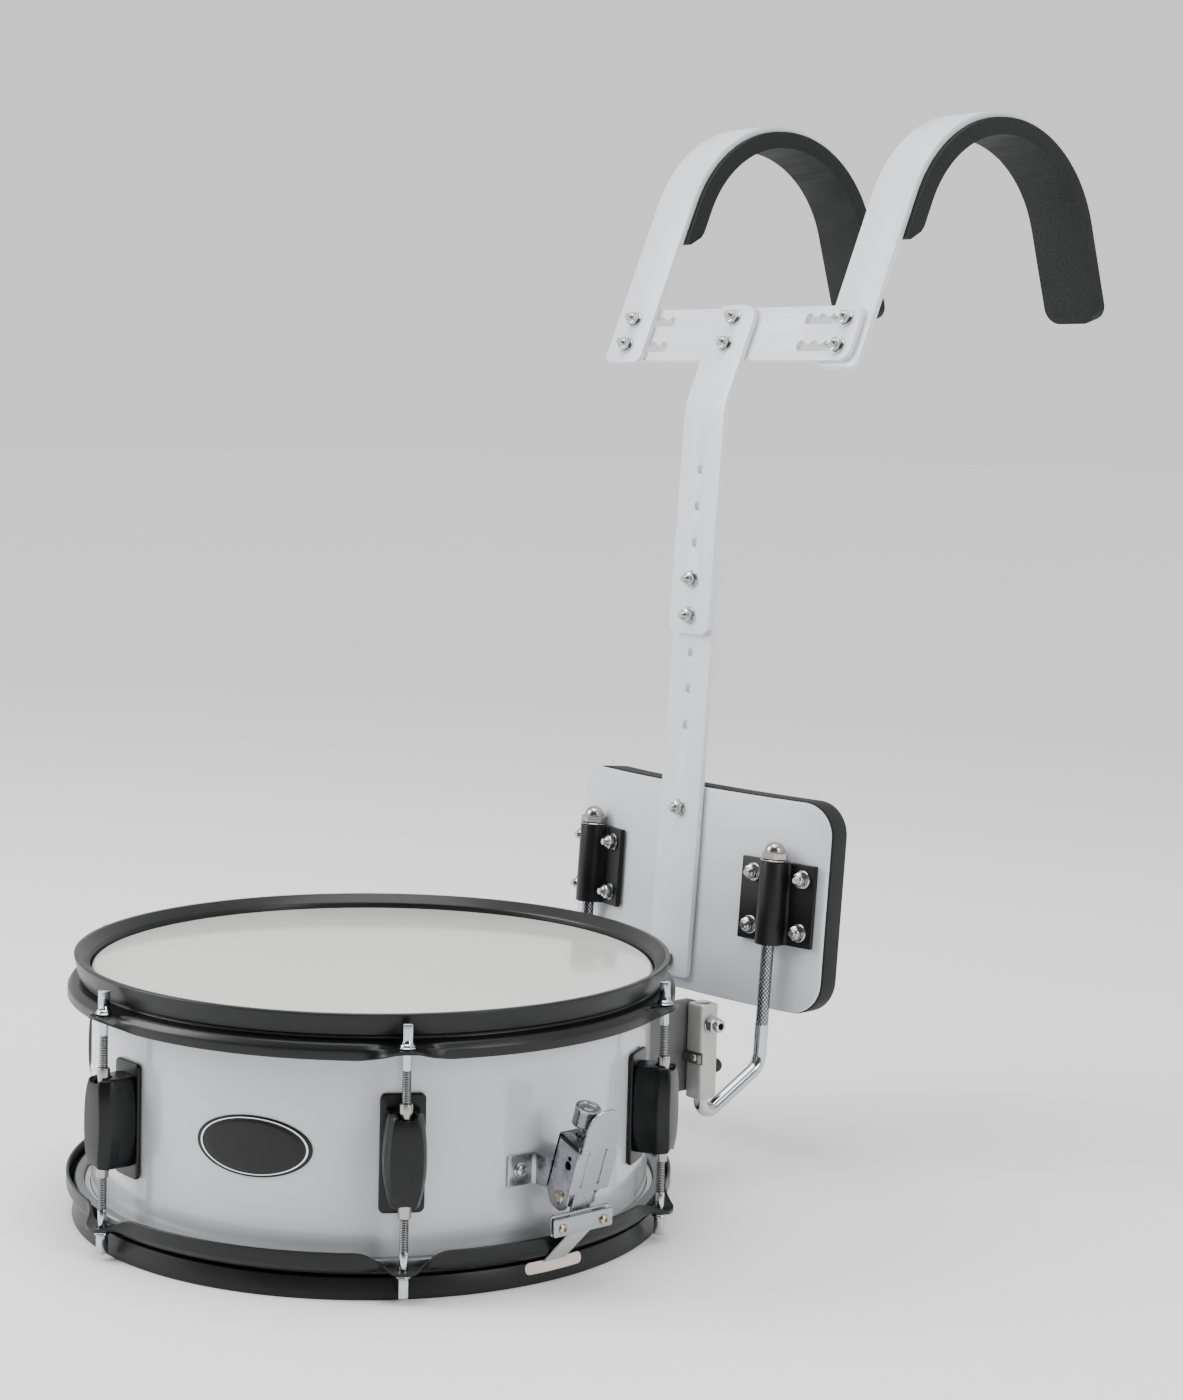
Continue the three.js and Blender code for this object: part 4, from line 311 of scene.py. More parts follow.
def foam_black():
    """Closed cell foam with a fine open skin."""
    finish = Finish("foam_black", (0.008, 0.0084, 0.0084), 0.85, sheen_weight=0.02,
                    specular_ior_level=0.3)
    cells = finish.cells(900)
    cloud = finish.noise(28, 4)
    finish.tint(0.5 * cloud + cells, 0.55)
    finish.set("Roughness", 0.66 + 0.22 * cloud)
    finish.relief(cells + 0.4 * finish.noise(300, 2), 0.0002, 0.55)
    return finish.material


def strap_weave():
    """Grey webbing: ribs across the strap and fine yarns along it."""
    finish = Finish("strap_weave", (0.36, 0.36, 0.36), 0.75, sheen_weight=0.2)
    ribs = (finish.across(1) * 5200).wave() * (finish.across(2) * 4200).wave()
    yarn = finish.noise(1400, 3, (1, 1, 0.2))
    finish.tint(0.5 + 0.3 * ribs + 0.3 * yarn, 0.2)
    finish.set("Roughness", 0.65 + 0.2 * yarn)
    finish.relief(0.5 + 0.5 * ribs, 0.00015, 0.6)
    return finish.material


def knurled_steel():
    """Painted shade in the cuts between the points, which keep the steel's tone, by the crest values
    stored on the knurl's points.
    """
    finish = Finish("knurled_steel", (0.5, 0.505, 0.515), 0.25, 1.0)
    crest = finish.add("Attribute", {"attribute_name": "crest"}, output="Fac")
    # cut is a painted shade colour for the knurl's cuts; point is the steel's own tone.
    cut, point = (0.022, 0.023, 0.024), (0.42, 0.425, 0.44)
    finish.set("Base Color", finish.mix(crest.smooth(0.05, 0.6), cut, point))
    finish.set("Roughness", 0.2 + 0.15 * finish.noise(300, 2))
    return finish.material


def threaded_steel():
    """Plated thread: painted shade in the roots and bright crests, by height."""
    finish = Finish("threaded_steel", (0.5, 0.505, 0.51), 0.3, 1.0)
    # root_shade is painted shade for the thread's grooves; the crest colour is the plating's tone.
    pitch, root_shade, crest = 0.001, (0.04, 0.04, 0.042), (0.46, 0.465, 0.47)
    turns = (finish.across(2) * (2 * pi / pitch) + 3 * finish.noise(9, 1)).wave() * 0.5 + 0.5
    finish.set("Base Color", finish.mix(turns.smooth(0.15, 0.75), root_shade, crest))
    finish.relief(turns, 0.0003, 0.8)
    return finish.material


def painted_light_collar():
    """Pale edge of the lower head's collar, warmer and lighter than the film: painted light, so that
    the collar behind a strap slot looks lit.
    """
    finish = Finish("painted_light_collar", (0.78, 0.68, 0.61), 0.5)
    cloud = finish.noise(60, 3)
    finish.tint(cloud, 0.08)
    finish.set("Roughness", 0.4 + 0.2 * cloud)
    finish.relief(cloud, 0.00005, 0.4)
    return finish.material


def coiled_wire():
    """Fine turns along X, with painted shade in the gaps between them."""
    finish = Finish("coiled_wire", (0.55, 0.56, 0.57), 0.28, 1.0)
    # gap_shade is painted shade between the wire's turns.
    pitch, gap_shade, crest = 0.0016, (0.12, 0.12, 0.125), (0.6, 0.61, 0.62)
    turns = (finish.across(0) * (2 * pi / pitch) + finish.across(1) * 900).wave() * 0.5 + 0.5
    finish.set("Base Color", finish.mix(turns.smooth(0.1, 0.6), gap_shade, crest))
    finish.relief(turns, 0.0004, 1.0)
    return finish.material


CHROME = bright_metal("rod_chrome", (0.52, 0.53, 0.55), 0.12, 35)
ZINC = bright_metal("bolt_zinc", (0.50, 0.505, 0.50), 0.22, 90)
STEEL = bright_metal("strainer_plate", (0.34, 0.35, 0.37), 0.24, 50)
NICKEL = bright_metal("swivel_nickel", (0.38, 0.365, 0.34), 0.2, 80)
BRASS = bright_metal("screw_brass", (0.44, 0.395, 0.30), 0.26, 80)
HOOP_METAL = bright_metal("flesh_hoop_metal", (0.30, 0.305, 0.31), 0.45, 40)
WIRE = bright_metal("snare_wire", (0.55, 0.56, 0.57), 0.28, 60)
LACQUER = shell_lacquer()
FILM = drum_film()
HOOP = hoop_enamel()
LUG = lug_enamel()
ENAMEL = carrier_enamel()
WHITE = powder_white()
PLATE = plate_white()
# The web and its flange take the block's blasted alloy in a far darker grey: painted shade beside the
# lighter block.
WEB_SHADE_GREY = blasted_grey("receiver_grey", (0.12, 0.12, 0.118))
BLOCK = blasted_grey("receiver_block_grey", (0.47, 0.475, 0.455))
FOAM = foam_black()
WEAVE = strap_weave()
THREAD = threaded_steel()
KNURL = knurled_steel()
COTTER = bright_metal("cotter_steel", (0.17, 0.17, 0.172), 0.34, 60)
COIL = coiled_wire()
# A pale colour that paints light onto the collar seen through the strap slots.
LIT_LINING = painted_light_collar()
BADGE_LINE = bright_metal("badge_line", (0.75, 0.76, 0.78), 0.3, 60)


# ---------------------------------------------------------------- shaping, in millimetres


def fillet(corners, steps=4, closed=True):
    """Corners of (x, y, radius) as points, with each radius drawn as an arc."""
    points = []
    for i, (x, y, *radius) in enumerate(corners):
        here = Vector((x, y))
        if not radius or not radius[0] or (not closed and i in (0, len(corners) - 1)):
            points.append(here)
            continue
        back = (Vector(corners[i - 1][:2]) - here).normalized()
        ahead = (Vector(corners[(i + 1) % len(corners)][:2]) - here).normalized()
        half = back.angle(ahead) / 2
        centre = here + (back + ahead).normalized() * (radius[0] / sin(half))
        arm = here + back * (radius[0] / tan(half)) - centre
        swing = (pi - 2 * half) * (-1 if back.cross(ahead) > 0 else 1)
        for k in range(steps + 1):
            points.append(centre + Matrix.Rotation(swing * k / steps, 2) @ arm)
    return points


def panel(left, low, right, high, radius, steps=4):
    """Rectangle with four equal rounded corners."""
    corners = ((left, low), (right, low), (right, high), (left, high))
    return fillet([(*corner, radius) for corner in corners], steps)


def arc(radius, first, last, steps, middle=(0, 0)):
    """Points round middle from one angle to another, both in radians."""
    angles = [first + (last - first) * k / steps for k in range(steps + 1)]
    return [Vector((middle[0] + radius * cos(a), middle[1] + radius * sin(a))) for a in angles]


def disc(x, y, radius, steps=20):
    return arc(radius, 0, 2 * pi, steps, (x, y))[:-1]


def divided(path, step, closed=False):
    """The same path with no two points further apart than step."""
    fine = []
    for here, ahead in zip(path, path[1:] + path[:1] if closed else path[1:]):
        count = max(1, int((ahead - here).length / step))
        fine += [here.lerp(ahead, k / count) for k in range(count)]
    return fine if closed else [*fine, path[-1]]


def loop_edges(bm, points, height):
    """Closed loop at one height: its points and its edges."""
    verts = [bm.verts.new((p[0], p[1], height)) for p in points]
    return verts, [bm.edges.new(pair) for pair in zip(verts, verts[1:] + verts[:1])]


def thickened(bm, depth):
    """Draws every face along Z by depth and returns what grew."""
    grown = bmesh.ops.extrude_face_region(bm, geom=bm.faces[:])["geom"]
    tops = [v for v in grown if isinstance(v, bmesh.types.BMVert)]
    bmesh.ops.translate(bm, verts=tops, vec=(0, 0, depth))
    return grown


def sheet(points, low, high, holes=()):
    """Flat sheet with an outline in X and Y and its thickness along Z."""
    bm = bmesh.new()
    if holes:
        edges = [edge for loop in (points, *holes) for edge in loop_edges(bm, loop, low)[1]]
        bmesh.ops.triangle_fill(bm, edges=edges, use_beauty=True)
    else:
        bm.faces.new(loop_edges(bm, points, low)[0])
    thickened(bm, high - low)
    bmesh.ops.recalc_face_normals(bm, faces=bm.faces)
    return bm


def block(low, high):
    """Box between two opposite corners."""
    bm = bmesh.new()
    bmesh.ops.create_cube(bm, size=1)
    size = [b - a for a, b in zip(low, high)]
    bmesh.ops.scale(bm, vec=size, verts=bm.verts)
    bmesh.ops.translate(bm, vec=[(a + b) / 2 for a, b in zip(low, high)], verts=bm.verts)
    return bm


def spun(profile, steps=48, closed=False):
    """Turned about Z from (radius, height) points."""
    bm = bmesh.new()
    verts = [bm.verts.new((r, 0, z)) for r, z in profile]
    edges = [bm.edges.new(pair) for pair in zip(verts, verts[1:])]
    if closed:
        edges.append(bm.edges.new((verts[-1], verts[0])))
    bmesh.ops.spin(bm, geom=verts + edges, cent=(0, 0, 0), axis=(0, 0, 1), angle=2 * pi,
                   steps=steps, use_merge=True)
    bmesh.ops.remove_doubles(bm, verts=bm.verts, dist=0.0005)
    bmesh.ops.recalc_face_normals(bm, faces=bm.faces)
    return bm


def cylinder(radius, low, high, steps):
    """Plain round bar along Z."""
    return spun([(0, low), (radius, low), (radius, high), (0, high)], steps)


def strip_solid(rings):
    """Closed strip whose rings are bridged one to the next."""
    bm = bmesh.new()
    loops = []
    for ring in rings:
        verts = [bm.verts.new(p) for p in ring]
        loops.append([bm.edges.new(pair) for pair in zip(verts, verts[1:] + verts[:1])])
    for first, second in zip(loops, loops[1:]):
        bmesh.ops.bridge_loops(bm, edges=first + second)
    bmesh.ops.holes_fill(bm, edges=loops[0] + loops[-1], sides=0)
    bmesh.ops.recalc_face_normals(bm, faces=bm.faces)
    return bm


def ribbon(path, thickness, half):
    """Flat strip of even thickness along a path in X and Z, half to each side in Y."""
    normals = []
    for i, here in enumerate(path):
        back = (here - path[i - 1]).normalized() if i else None
        ahead = (path[i + 1] - here).normalized() if i < len(path) - 1 else None
        line = ((back or ahead) + (ahead or back)).normalized()
        slant = line.dot(ahead or back)
        normals.append(Vector((-line.y, line.x)) / max(slant, 0.5))
    rings = []
    for here, out in zip(path, normals):
        near, far = here - out * thickness / 2, here + out * thickness / 2
        rings.append([Vector((near.x, -half, near.y)), Vector((near.x, half, near.y)),
                      Vector((far.x, half, far.y)), Vector((far.x, -half, far.y))])
    return strip_solid(rings)


def eased(bm, width, segments=2, angle=30):
    """Rounds the edges that are sharper than angle."""
    edges = [e for e in bm.edges if len(e.link_faces) == 2 and e.calc_face_angle() > radians(angle)]
    bmesh.ops.bevel(bm, geom=edges, offset=width, offset_type="OFFSET", segments=segments,
                    profile=0.5, affect="EDGES", clamp_overlap=True, material=-1)
    return bm


def pressed(points, low, high, soft=0.3, segments=2, holes=()):
    """Sheet with its cut edges softened."""
    return eased(sheet(points, low, high, holes), soft, segments, 50)


def placed(bm, place):
    """Moves a shape, and turns its faces back out where the move mirrors it."""
    bmesh.ops.transform(bm, matrix=place, verts=bm.verts)
    if place.determinant() < 0:
        bmesh.ops.reverse_faces(bm, faces=bm.faces)
    return bm


def as_object(bm, name):
    mesh = bpy.data.meshes.new(name)
    bm.to_mesh(mesh)
    made = bpy.data.objects.new(name, mesh)
    bpy.context.scene.collection.objects.link(made)
    return made


def carved(bm, *tools, operation="DIFFERENCE"):
    """Cuts tools out of a shape, joins them to it or keeps what they share."""
    whole = as_object(bm, "blank")
    cutters = [as_object(tool, "cutter") for tool in tools]
    for cutter in cutters:
        modifier = whole.modifiers.new("cut", "BOOLEAN")
        modifier.operation = operation
        modifier.solver = "EXACT"
        modifier.object = cutter
    bpy.context.view_layer.update()
    done = whole.evaluated_get(bpy.context.evaluated_depsgraph_get())
    result = bmesh.new()
    result.from_mesh(done.to_mesh())
    done.to_mesh_clear()
    for spent in (whole, *cutters):
        bpy.data.objects.remove(spent)
    return result


class Piece:
    """One named piece, gathered from parts that each have their own finish."""

    def __init__(self, name, frame_place):
        self.name = name
        self.frame = frame_place
        self.bm = bmesh.new()
        self.finishes = []

    def take(self, part, finish, place=AS_DRAWN):
        """Adds a copy of a part, moved by place inside the piece's own frame."""
        if finish not in self.finishes:
            self.finishes.append(finish)
        work = part.copy()
        for face in work.faces:
            face.material_index = self.finishes.index(finish)
        placed(work, self.frame @ place)
        mesh = bpy.data.meshes.new("part")
        work.to_mesh(mesh)
        work.free()
        self.bm.from_mesh(mesh)
        bpy.data.meshes.remove(mesh)
        return self

    def done(self, body, slot, *nodes, smooth=35):
        """The finished object, which rides on a body and stands for the nodes it replaces."""
        bmesh.ops.scale(self.bm, vec=(MM, MM, MM), verts=self.bm.verts)
        made = as_object(self.bm, self.name)
        self.bm.free()
        for finish in self.finishes:
            made.data.materials.append(finish)
        made.data.shade_smooth()
        made.data.set_sharp_from_angle(angle=radians(smooth))
        if nodes:
            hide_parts(*nodes)
        if body:
            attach(made, body)
        return made


# ---------------------------------------------------------------- fasteners, seated at Z = 0


def hexagon(radius, low, high, bore=0.0):
    """Hexagon with chamfered corners."""
    bevel = 0.16 * radius
    points = [(bore, low), (radius - bevel, low), (radius, low + bevel / 2),
              (radius, high - bevel / 2), (radius - bevel, high), (bore, high)]
    return spun(points, 6, closed=bore > 0)


def washer(radius, thickness):
    soft = thickness * 0.35
    points = [(0, 0), (radius - soft, 0), (radius, soft), (radius, thickness - soft),
              (radius - soft, thickness), (0, thickness)]
    return spun(points, 28)


def thread(radius, low, high, pitch, steps):
    """Stub with cut rings for a thread."""
    depth = 0.33 * pitch
    points = [(0, low), (radius - depth, low)]
    count = int((high - low) / pitch)
    for k in range(count):
        points += [(radius, low + (k + 0.35) * pitch), (radius, low + (k + 0.55) * pitch),
                   (radius - depth, low + (k + 0.95) * pitch)]
    points += [(radius - depth, high), (0, high)]
    return spun(points, steps)


def lock_nut(radius, height, stub):
    """Hexagon nut with its rounded locking collar and the end of the screw."""
    collar = radius * 0.74
    dome = spun([(0, height * 0.7), (collar, height * 0.7), (collar, height * 0.93),
                 (collar * 0.9, height * 1.04), (stub + 0.5, height * 1.1),
                 (stub + 0.3, height * 0.98), (0, height * 0.98)], 28)
    end = thread(stub, height * 0.7, height * 1.1 + 2.2, 0.8, 14)
    return hexagon(radius, 0, height * 0.74), dome, end


def cross_recess(depth, radius):
    """Cutter for a crosshead screw."""
    arm = radius * 0.24
    along = block((-radius, -arm, -depth), (radius, arm, depth))
    across = block((-arm, -radius, -depth), (arm, radius, depth))
    return carved(along, across, operation="UNION")


def pan_head(radius, height):
    """Low domed head with a cross in it."""
    points = [(0, -0.4), (radius, -0.4), (radius, height * 0.3), (radius * 0.86, height * 0.72),
              (radius * 0.5, height * 0.97), (0, height)]
    cutter = placed(cross_recess(height * 0.75, radius * 0.55), move(z=height))
    return carved(spun(points, 28), cutter)


# ---------------------------------------------------------------- drum

EAR_DEPTH = 18.1  # from the lip down to the ear that a rod's washer sits on
EAR_TOP = HEIGHT - EAR_DEPTH
SECTOR = 2 * pi / LUGS
SLOT_HALF = 21.5  # half the strap slot's width
VENT_ANGLE = 322
BADGE_ANGLE = 31.6
BADGE_HALF = (36.6, 18)


def skirt_share(angle):
    """None at a rod's ear, all of it between ears, with a slanted edge between."""
    offset = abs(angle - SECTOR * round(angle / SECTOR))
    share = min(max((offset - radians(1.7)) / radians(6.6), 0), 1)
    return 1 - (1 - share) ** 1.9


def rim(skirt):
    """Bent sheet rim from its rolled lip to the ledge, then down as a skirt or out as an ear."""
    profile = fillet([
        (184.9, 0, 0.5), (188.3, 0, 0.9), (185.4, 12.4, 0.3), (182.4, 13.4, 0.9),
        (182.4, 15.7, 1.0), (189.2, 16.2, 3.2), (191.8, 20.2, 3.4), (191.8, skirt, 0.6),
        (190.0, skirt, 0.6), (189.9, 20.6, 2.0), (187.4, 17.8, 1.2), (178.3, 17.4, 0.5),
        (178.3, 5.5, 2.5)], 4)
    bm = spun(profile, 360, closed=True)
    for vert in bm.verts:
        radius, depth = hypot(vert.co.x, vert.co.y), vert.co.z
        angle = atan2(vert.co.x, -vert.co.y) % (2 * pi)
        away = 1 - skirt_share(angle)
        if radius > 185.6 and depth > 14.5 and away > 0:
            along = min(max((depth - 16.0) / (skirt - 16.0), 0), 1)
            outside = radius > 190.9 or depth < 17.2
            ear_radius = 187.6 + 15.0 * along
            ear_depth = EAR_DEPTH if outside else EAR_DEPTH + 2
            radius += (ear_radius - radius) * away
            depth += (ear_depth - depth) * away
            vert.co.x, vert.co.y = radius * sin(angle), -radius * cos(angle)
        vert.co.z = HEIGHT - depth
    bmesh.ops.recalc_face_normals(bm, faces=bm.faces)
    drill = cylinder(3.4, EAR_TOP - 6, EAR_TOP + 3, 20)
    return carved(bm, *[placed(drill.copy(), turn(60 * k, "Z") @ move(y=-ROD_CIRCLE))
                        for k in range(LUGS)])


def head():
    """Film over the bearing edge, with its collar down to the flesh hoop."""
    top = HEIGHT - 8.2
    line = fillet([(0, top), (177.3, top, 2.4), (177.3, top - 11.7, 0.3), (179.9, top - 11.7),
                   (179.9, top - 12.2), (176.8, top - 12.2, 0.3), (176.8, top - 0.5, 1.9),
                   (0, top - 0.5)], 5, closed=False)
    return spun(line, 240)


def flesh_hoop():
    """Metal hoop that the film is fixed to."""
    inner, outer, low, high = 180.5, 186.6, 142.2, 147.9
    line = fillet([(inner, high, 0.6), (outer, high, 1.2), (outer, low, 1.2), (inner, low, 0.6)], 3)
    return spun(line, 180, closed=True)


def shell():
    """Bearing edges at both ends, with the two snare beds dipped in the lower one."""
    top, low, inner, cut, bed = HEIGHT - 9.0, 9.0, 169.5, 5.1, radians(20)
    line = fillet([(inner, low + cut), (inner + cut, low), (SHELL, low, 1.9), (SHELL, top, 1.9),
                   (inner + cut, top), (inner, top - cut)], 5)
    bm = spun(line, 288, closed=True)
    for vert in bm.verts:
        side = atan2(abs(vert.co.y), abs(vert.co.x))
        if vert.co.z < MID and side < bed:
            vert.co.z += 1 + cos(pi * side / bed)
    return carved(bm, placed(cylinder(6.0, 165, 180, 24), vent_place()))


def vent_place():
    """Frame of the vent, whose Z points out of the shell."""
    return turn(VENT_ANGLE, "Z") @ move(z=MID) @ turn(90, "X")


def lit_slot_lining():
    """Pale edge of the lower head, seen through a strap slot just behind the rim's face: set nearer
    the slot than the real collar and coloured lighter, as painted light.
    """
    window = placed(sheet(panel(-21.3, 5.6, 21.3, 12.3, 3.1, 6), 178, 190), TO_X)
    ring = spun([(186.5, 5), (184.8, 13), (184.0, 13), (185.7, 5)], 360, closed=True)
    return carved(window, ring, operation="INTERSECT")


def strap_openings():
    """Cutters for a strap's slot in the band and its gate in the skirt, on both sides."""
    slot = placed(sheet(panel(-SLOT_HALF, 153.1, SLOT_HALF, 160.2, 3.3, 6), 178, 190), TO_X)
    half, low, high = 9, HEIGHT - 22, HEIGHT - 15.9
    gate = block((188, -half, low), (194, half, high))
    return slot, gate, placed(slot.copy(), mirror_x()), placed(gate.copy(), mirror_x())


def make_shell_and_heads():
    shell_piece = Piece("lacquered_shell", DRUM).take(shell(), LACQUER)
    shell_piece.done("drum", "shell_white", "shell", smooth=40)
    for name, place, skirt in (("batter", AS_DRAWN, 26.0), ("snare", overturned(), 28.6)):
        film = Piece(name + "_film", DRUM).take(head(), FILM, place)
        made = rim(skirt)
        if name == "snare":
            for side in (AS_DRAWN, mirror_x()):
                # The pale band behind each slot is painted light.
                film.take(lit_slot_lining(), LIT_LINING, side)
            made = carved(made, *strap_openings())
        film.done("drum", "head_film", name + "_head", smooth=40)
        ring = Piece(name + "_film_ring", DRUM).take(flesh_hoop(), HOOP_METAL, place)
        ring.done("drum", "flesh_hoop_metal", name + "_flesh_hoop")
        rim_piece = Piece(name + "_rim", DRUM).take(made, HOOP, place)
        rim_piece.done("drum", "hoop_black", name + "_hoop", smooth=28)


def make_vent_and_badge():
    tube = spun(fillet([(4.5, 169.5), (5.7, 169.5), (5.7, 176.8), (9, 176.8, 0.4),
                        (8.2, 177.9, 0.9), (5.7, 178.5, 0.5), (4.5, 178.0, 0.5)], 3), 32, closed=True)
    ring = Piece("vent_ring", DRUM).take(tube, CHROME, vent_place())
    ring.done("drum", "chrome", "vent_grommet")
    badge = Piece("bare_oval_badge", DRUM)
    field, rim_line = oval_plate(0.86, 0.55), oval_plate(1.0, 0.35)
    badge.take(rim_line, HOOP).take(field, HOOP).take(oval_ring(0.9, 0.93, 0.62), BADGE_LINE)
    badge.done("drum", "badge_black", "badge", smooth=40)


def on_shell(bm):
    """Wraps an oval drawn flat in X and Y, with its height in Z, round the shell."""
    for vert in bm.verts:
        across, up, out = vert.co
        around = radians(BADGE_ANGLE) + across / SHELL
        vert.co = ((SEAT + out) * sin(around), -(SEAT + out) * cos(around), MID + up)
    bmesh.ops.recalc_face_normals(bm, faces=bm.faces)
    return bm


def oval_plate(share, thickness, steps=72):
    """Oval plate with a rounded edge, half as high as it is wide."""
    bm = bmesh.new()
    bmesh.ops.create_circle(bm, cap_ends=True, segments=steps, radius=1)
    grown = thickened(bm, thickness)
    face = next(f for f in grown if isinstance(f, bmesh.types.BMFace))
    for inset, rise in ((0.02, 0.18), (0.12, 0.12), (0.3, 0.05), (0.3, 0.02)):
        bmesh.ops.inset_region(bm, faces=[face], thickness=inset, depth=0)
        bmesh.ops.translate(bm, verts=face.verts, vec=(0, 0, rise))
    bmesh.ops.scale(bm, vec=(BADGE_HALF[0] * share, BADGE_HALF[1] * share, 1), verts=bm.verts)
    return on_shell(bm)


def oval_ring(inner, outer, thickness, steps=72):
    """Thin raised line round the oval."""
    bm = bmesh.new()
    rings = []
    for share in (inner, outer):
        points = [(BADGE_HALF[0] * p.x, BADGE_HALF[1] * p.y) for p in disc(0, 0, share, steps)]
        rings += loop_edges(bm, points, 0)[1]
    bmesh.ops.bridge_loops(bm, edges=rings)
    thickened(bm, thickness)
    return on_shell(bm)


# ---------------------------------------------------------------- lugs and tension rods

LUG_PAD = 2.5  # thickness of the pad that a lug stands on
LUG_FRONT = SEAT + LUG_PAD


def lug_body():
    """Casting that is widest at its middle, with a well for the swivel nut in each end."""
    half_high, half_wide, half_face, deep = 27.2, 12.3, 9.4, 23.2
    rings = []
    for k in range(25):
        share = -1 + k / 12
        pinch = 0.34 if share < 0 else 0.22
        wide = half_wide * (1 - pinch * abs(share) ** 2.2)
        narrow = half_face * (1 - (pinch + 0.1) * abs(share) ** 2.0)
        foot, face = -LUG_FRONT + 0.4, -LUG_FRONT - deep * (1 - 0.07 * abs(share) ** 5)
        outline = fillet([(wide, foot), (-wide, foot), (-wide, face + 6.5, 6), (-narrow, face, 1.7),
                          (narrow, face, 1.7), (wide, face + 6.5, 6)], 5)
        rings.append([Vector((p.x, p.y, MID + half_high * share)) for p in outline])
    body = eased(strip_solid(rings), 1.5, 3, 60)
    wells = []
    for side in (1, -1):
        well = cylinder(5.3, 0, 12, 28)
        scoop = spun([(0, 0), (4.4, 0.6), (6.6, 3), (8.2, 9), (0, 9)], 28)
        spot = move(y=-ROD_CIRCLE, z=MID) @ Matrix.Scale(side, 4, (0, 0, 1))
        wells.append(placed(well, spot @ move(z=22.5)))
        wells.append(placed(scoop, spot @ move(y=-4.5, z=24.2)))
    return carved(body, *wells)


def swivel_nut():
    """Plated nut that stands out of the lug's end, chamfered, with the rod's hole in it."""
    bore, low, high = 2.9, 12, 33.1
    line = [(bore, low), (4.6, low), (4.6, 23.2, 0.4), (3.8, 23.6), (3.8, high, 0.7), (bore, high)]
    return spun(fillet(line, 3), 32, closed=True)


def make_lugs():
    base = pressed(panel(-13.25, MID - 35, 13.25, MID + 35, 3.6, 6), 0, LUG_PAD, 0.9, 3)
    base = placed(base, move(y=-SEAT) @ turn(90, "X"))
    body, nut = lug_body(), swivel_nut()
    for number in range(1, LUGS + 1):
        piece = Piece("cast_lug_%d" % number, at_lug(number))
        piece.take(base, LUG).take(body, LUG)
        for place in (AS_DRAWN, overturned()):
            piece.take(nut, NICKEL, place @ move(y=-ROD_CIRCLE, z=MID))
        piece.done("drum", "lug_black", "lug_%d" % number, smooth=38)


def tension_rod():
    """Square head on a round collar and washer, with a smooth neck above the thread."""
    seat = EAR_TOP + 0.3
    head = eased(block((-2.75, -2.75, seat + 3.2), (2.75, 2.75, seat + 14.2)), 0.55, 3)
    flare = spun([(0, seat + 1.2), (4.6, seat + 1.2), (4.75, seat + 1.7), (4.5, seat + 2.2),
                  (3.6, seat + 2.9), (3.3, seat + 4.2), (2.6, seat + 5.4), (0, seat + 5.4)], 28)
    ring = placed(washer(5.2, 1.2), move(z=seat))
    neck_end, tip = seat - 12, 96.9
    neck = spun([(0, seat), (2.7, seat), (2.7, neck_end), (2.45, neck_end - 0.6),
                 (0, neck_end - 0.6)], 24)
    screw = thread(2.62, tip, neck_end, 1.0, 20)
    return (head, CHROME), (flare, CHROME), (ring, CHROME), (neck, CHROME), (screw, THREAD)


def make_rods():
    parts = tension_rod()
    for number in range(1, LUGS + 1):
        for side, place in (("top", AS_DRAWN), ("bottom", overturned())):
            which = "%s_%d" % (side, number)
            piece = Piece("tuning_screw_" + which, at_lug(number))
            for part, finish in parts:
                piece.take(part, finish, place @ move(y=-ROD_CIRCLE))
            piece.done("rod_" + which, "chrome", "tension_rod_" + which, smooth=32)


# ---------------------------------------------------------------- strainer

LEVER_FACE = 9.5  # the lever's and the box's sheets start here
BOX_SHEET = 1.5
BOX_BACK, BOX_FRONT, BOX_TOP, BOX_HALF = -12.7, 7, 36, 11
SCREW_X = -6  # the tension screw's place in the box
WING_ANGLE = 9.3  # degrees that a strainer's foot reaches round the shell
FOOT_SCREW_ANGLE = 6.55
STRAP_IN, STRAP_OUT = 206.6, 209.6  # inner faces of the two plates that grip a strap


def make_lever():
    """Rounded paddle on two cheeks, with its cross pin and two raised ribs."""
    piece = Piece("throw_lever", STRAINER)
    outline = fillet([(-15, 8, 1.5), (15, 8, 1.5), (15, 32, 1.6), (12.3, 35.5, 2), (12.3, 62.2, 11.6),
                      (-12.3, 62.2, 11.6), (-12.3, 35.5, 2), (-15, 32, 1.6)], 8)
    face = LEVER_FACE + BOX_SHEET
    piece.take(pressed(outline, LEVER_FACE, face, 0.4), STEEL, TO_X)
    side = fillet([(-3.5, -4, 3.4), (3.5, -4, 3.4), (10.6, 8), (10.6, 24), (6, 24, 2),
                   (-3.5, 4, 3.4)], 6)
    cheek = pressed(side, 0, 1.4, 0.25, holes=[disc(0, 0, 2.4)])
    for y in (-9.2, 7.8):
        piece.take(cheek, STEEL, move(y=y) @ TO_Y)
    pin = spun(fillet([(0, -9.2), (1.5, -9.2, 0.3), (1.5, 9.2, 0.3), (0, 9.2)], 2, closed=False), 20)
    piece.take(pin, STEEL, move(3.7, 0, 2.5) @ turn(90, "X"))
    for y in (-6.5, 6.5):
        rib = eased(block((-0.7, 13, -0.3), (0.7, 34, 0.7)), 0.5, 3)
        piece.take(rib, STEEL, move(x=face, y=y) @ TO_X)
        for z, size in ((12.4, 1.0), (34.6, 0.7)):
            dot = spun([(0, -0.3), (1.4 * size, -0.3), (1.25 * size, 0.5), (0.6 * size, 0.95),
                        (0, 1)], 16)
            piece.take(dot, STEEL, move(face, y, z) @ turn(90, "Y"))
    piece.done("strainer_lever", "strainer_steel", "strainer_lever", smooth=32)


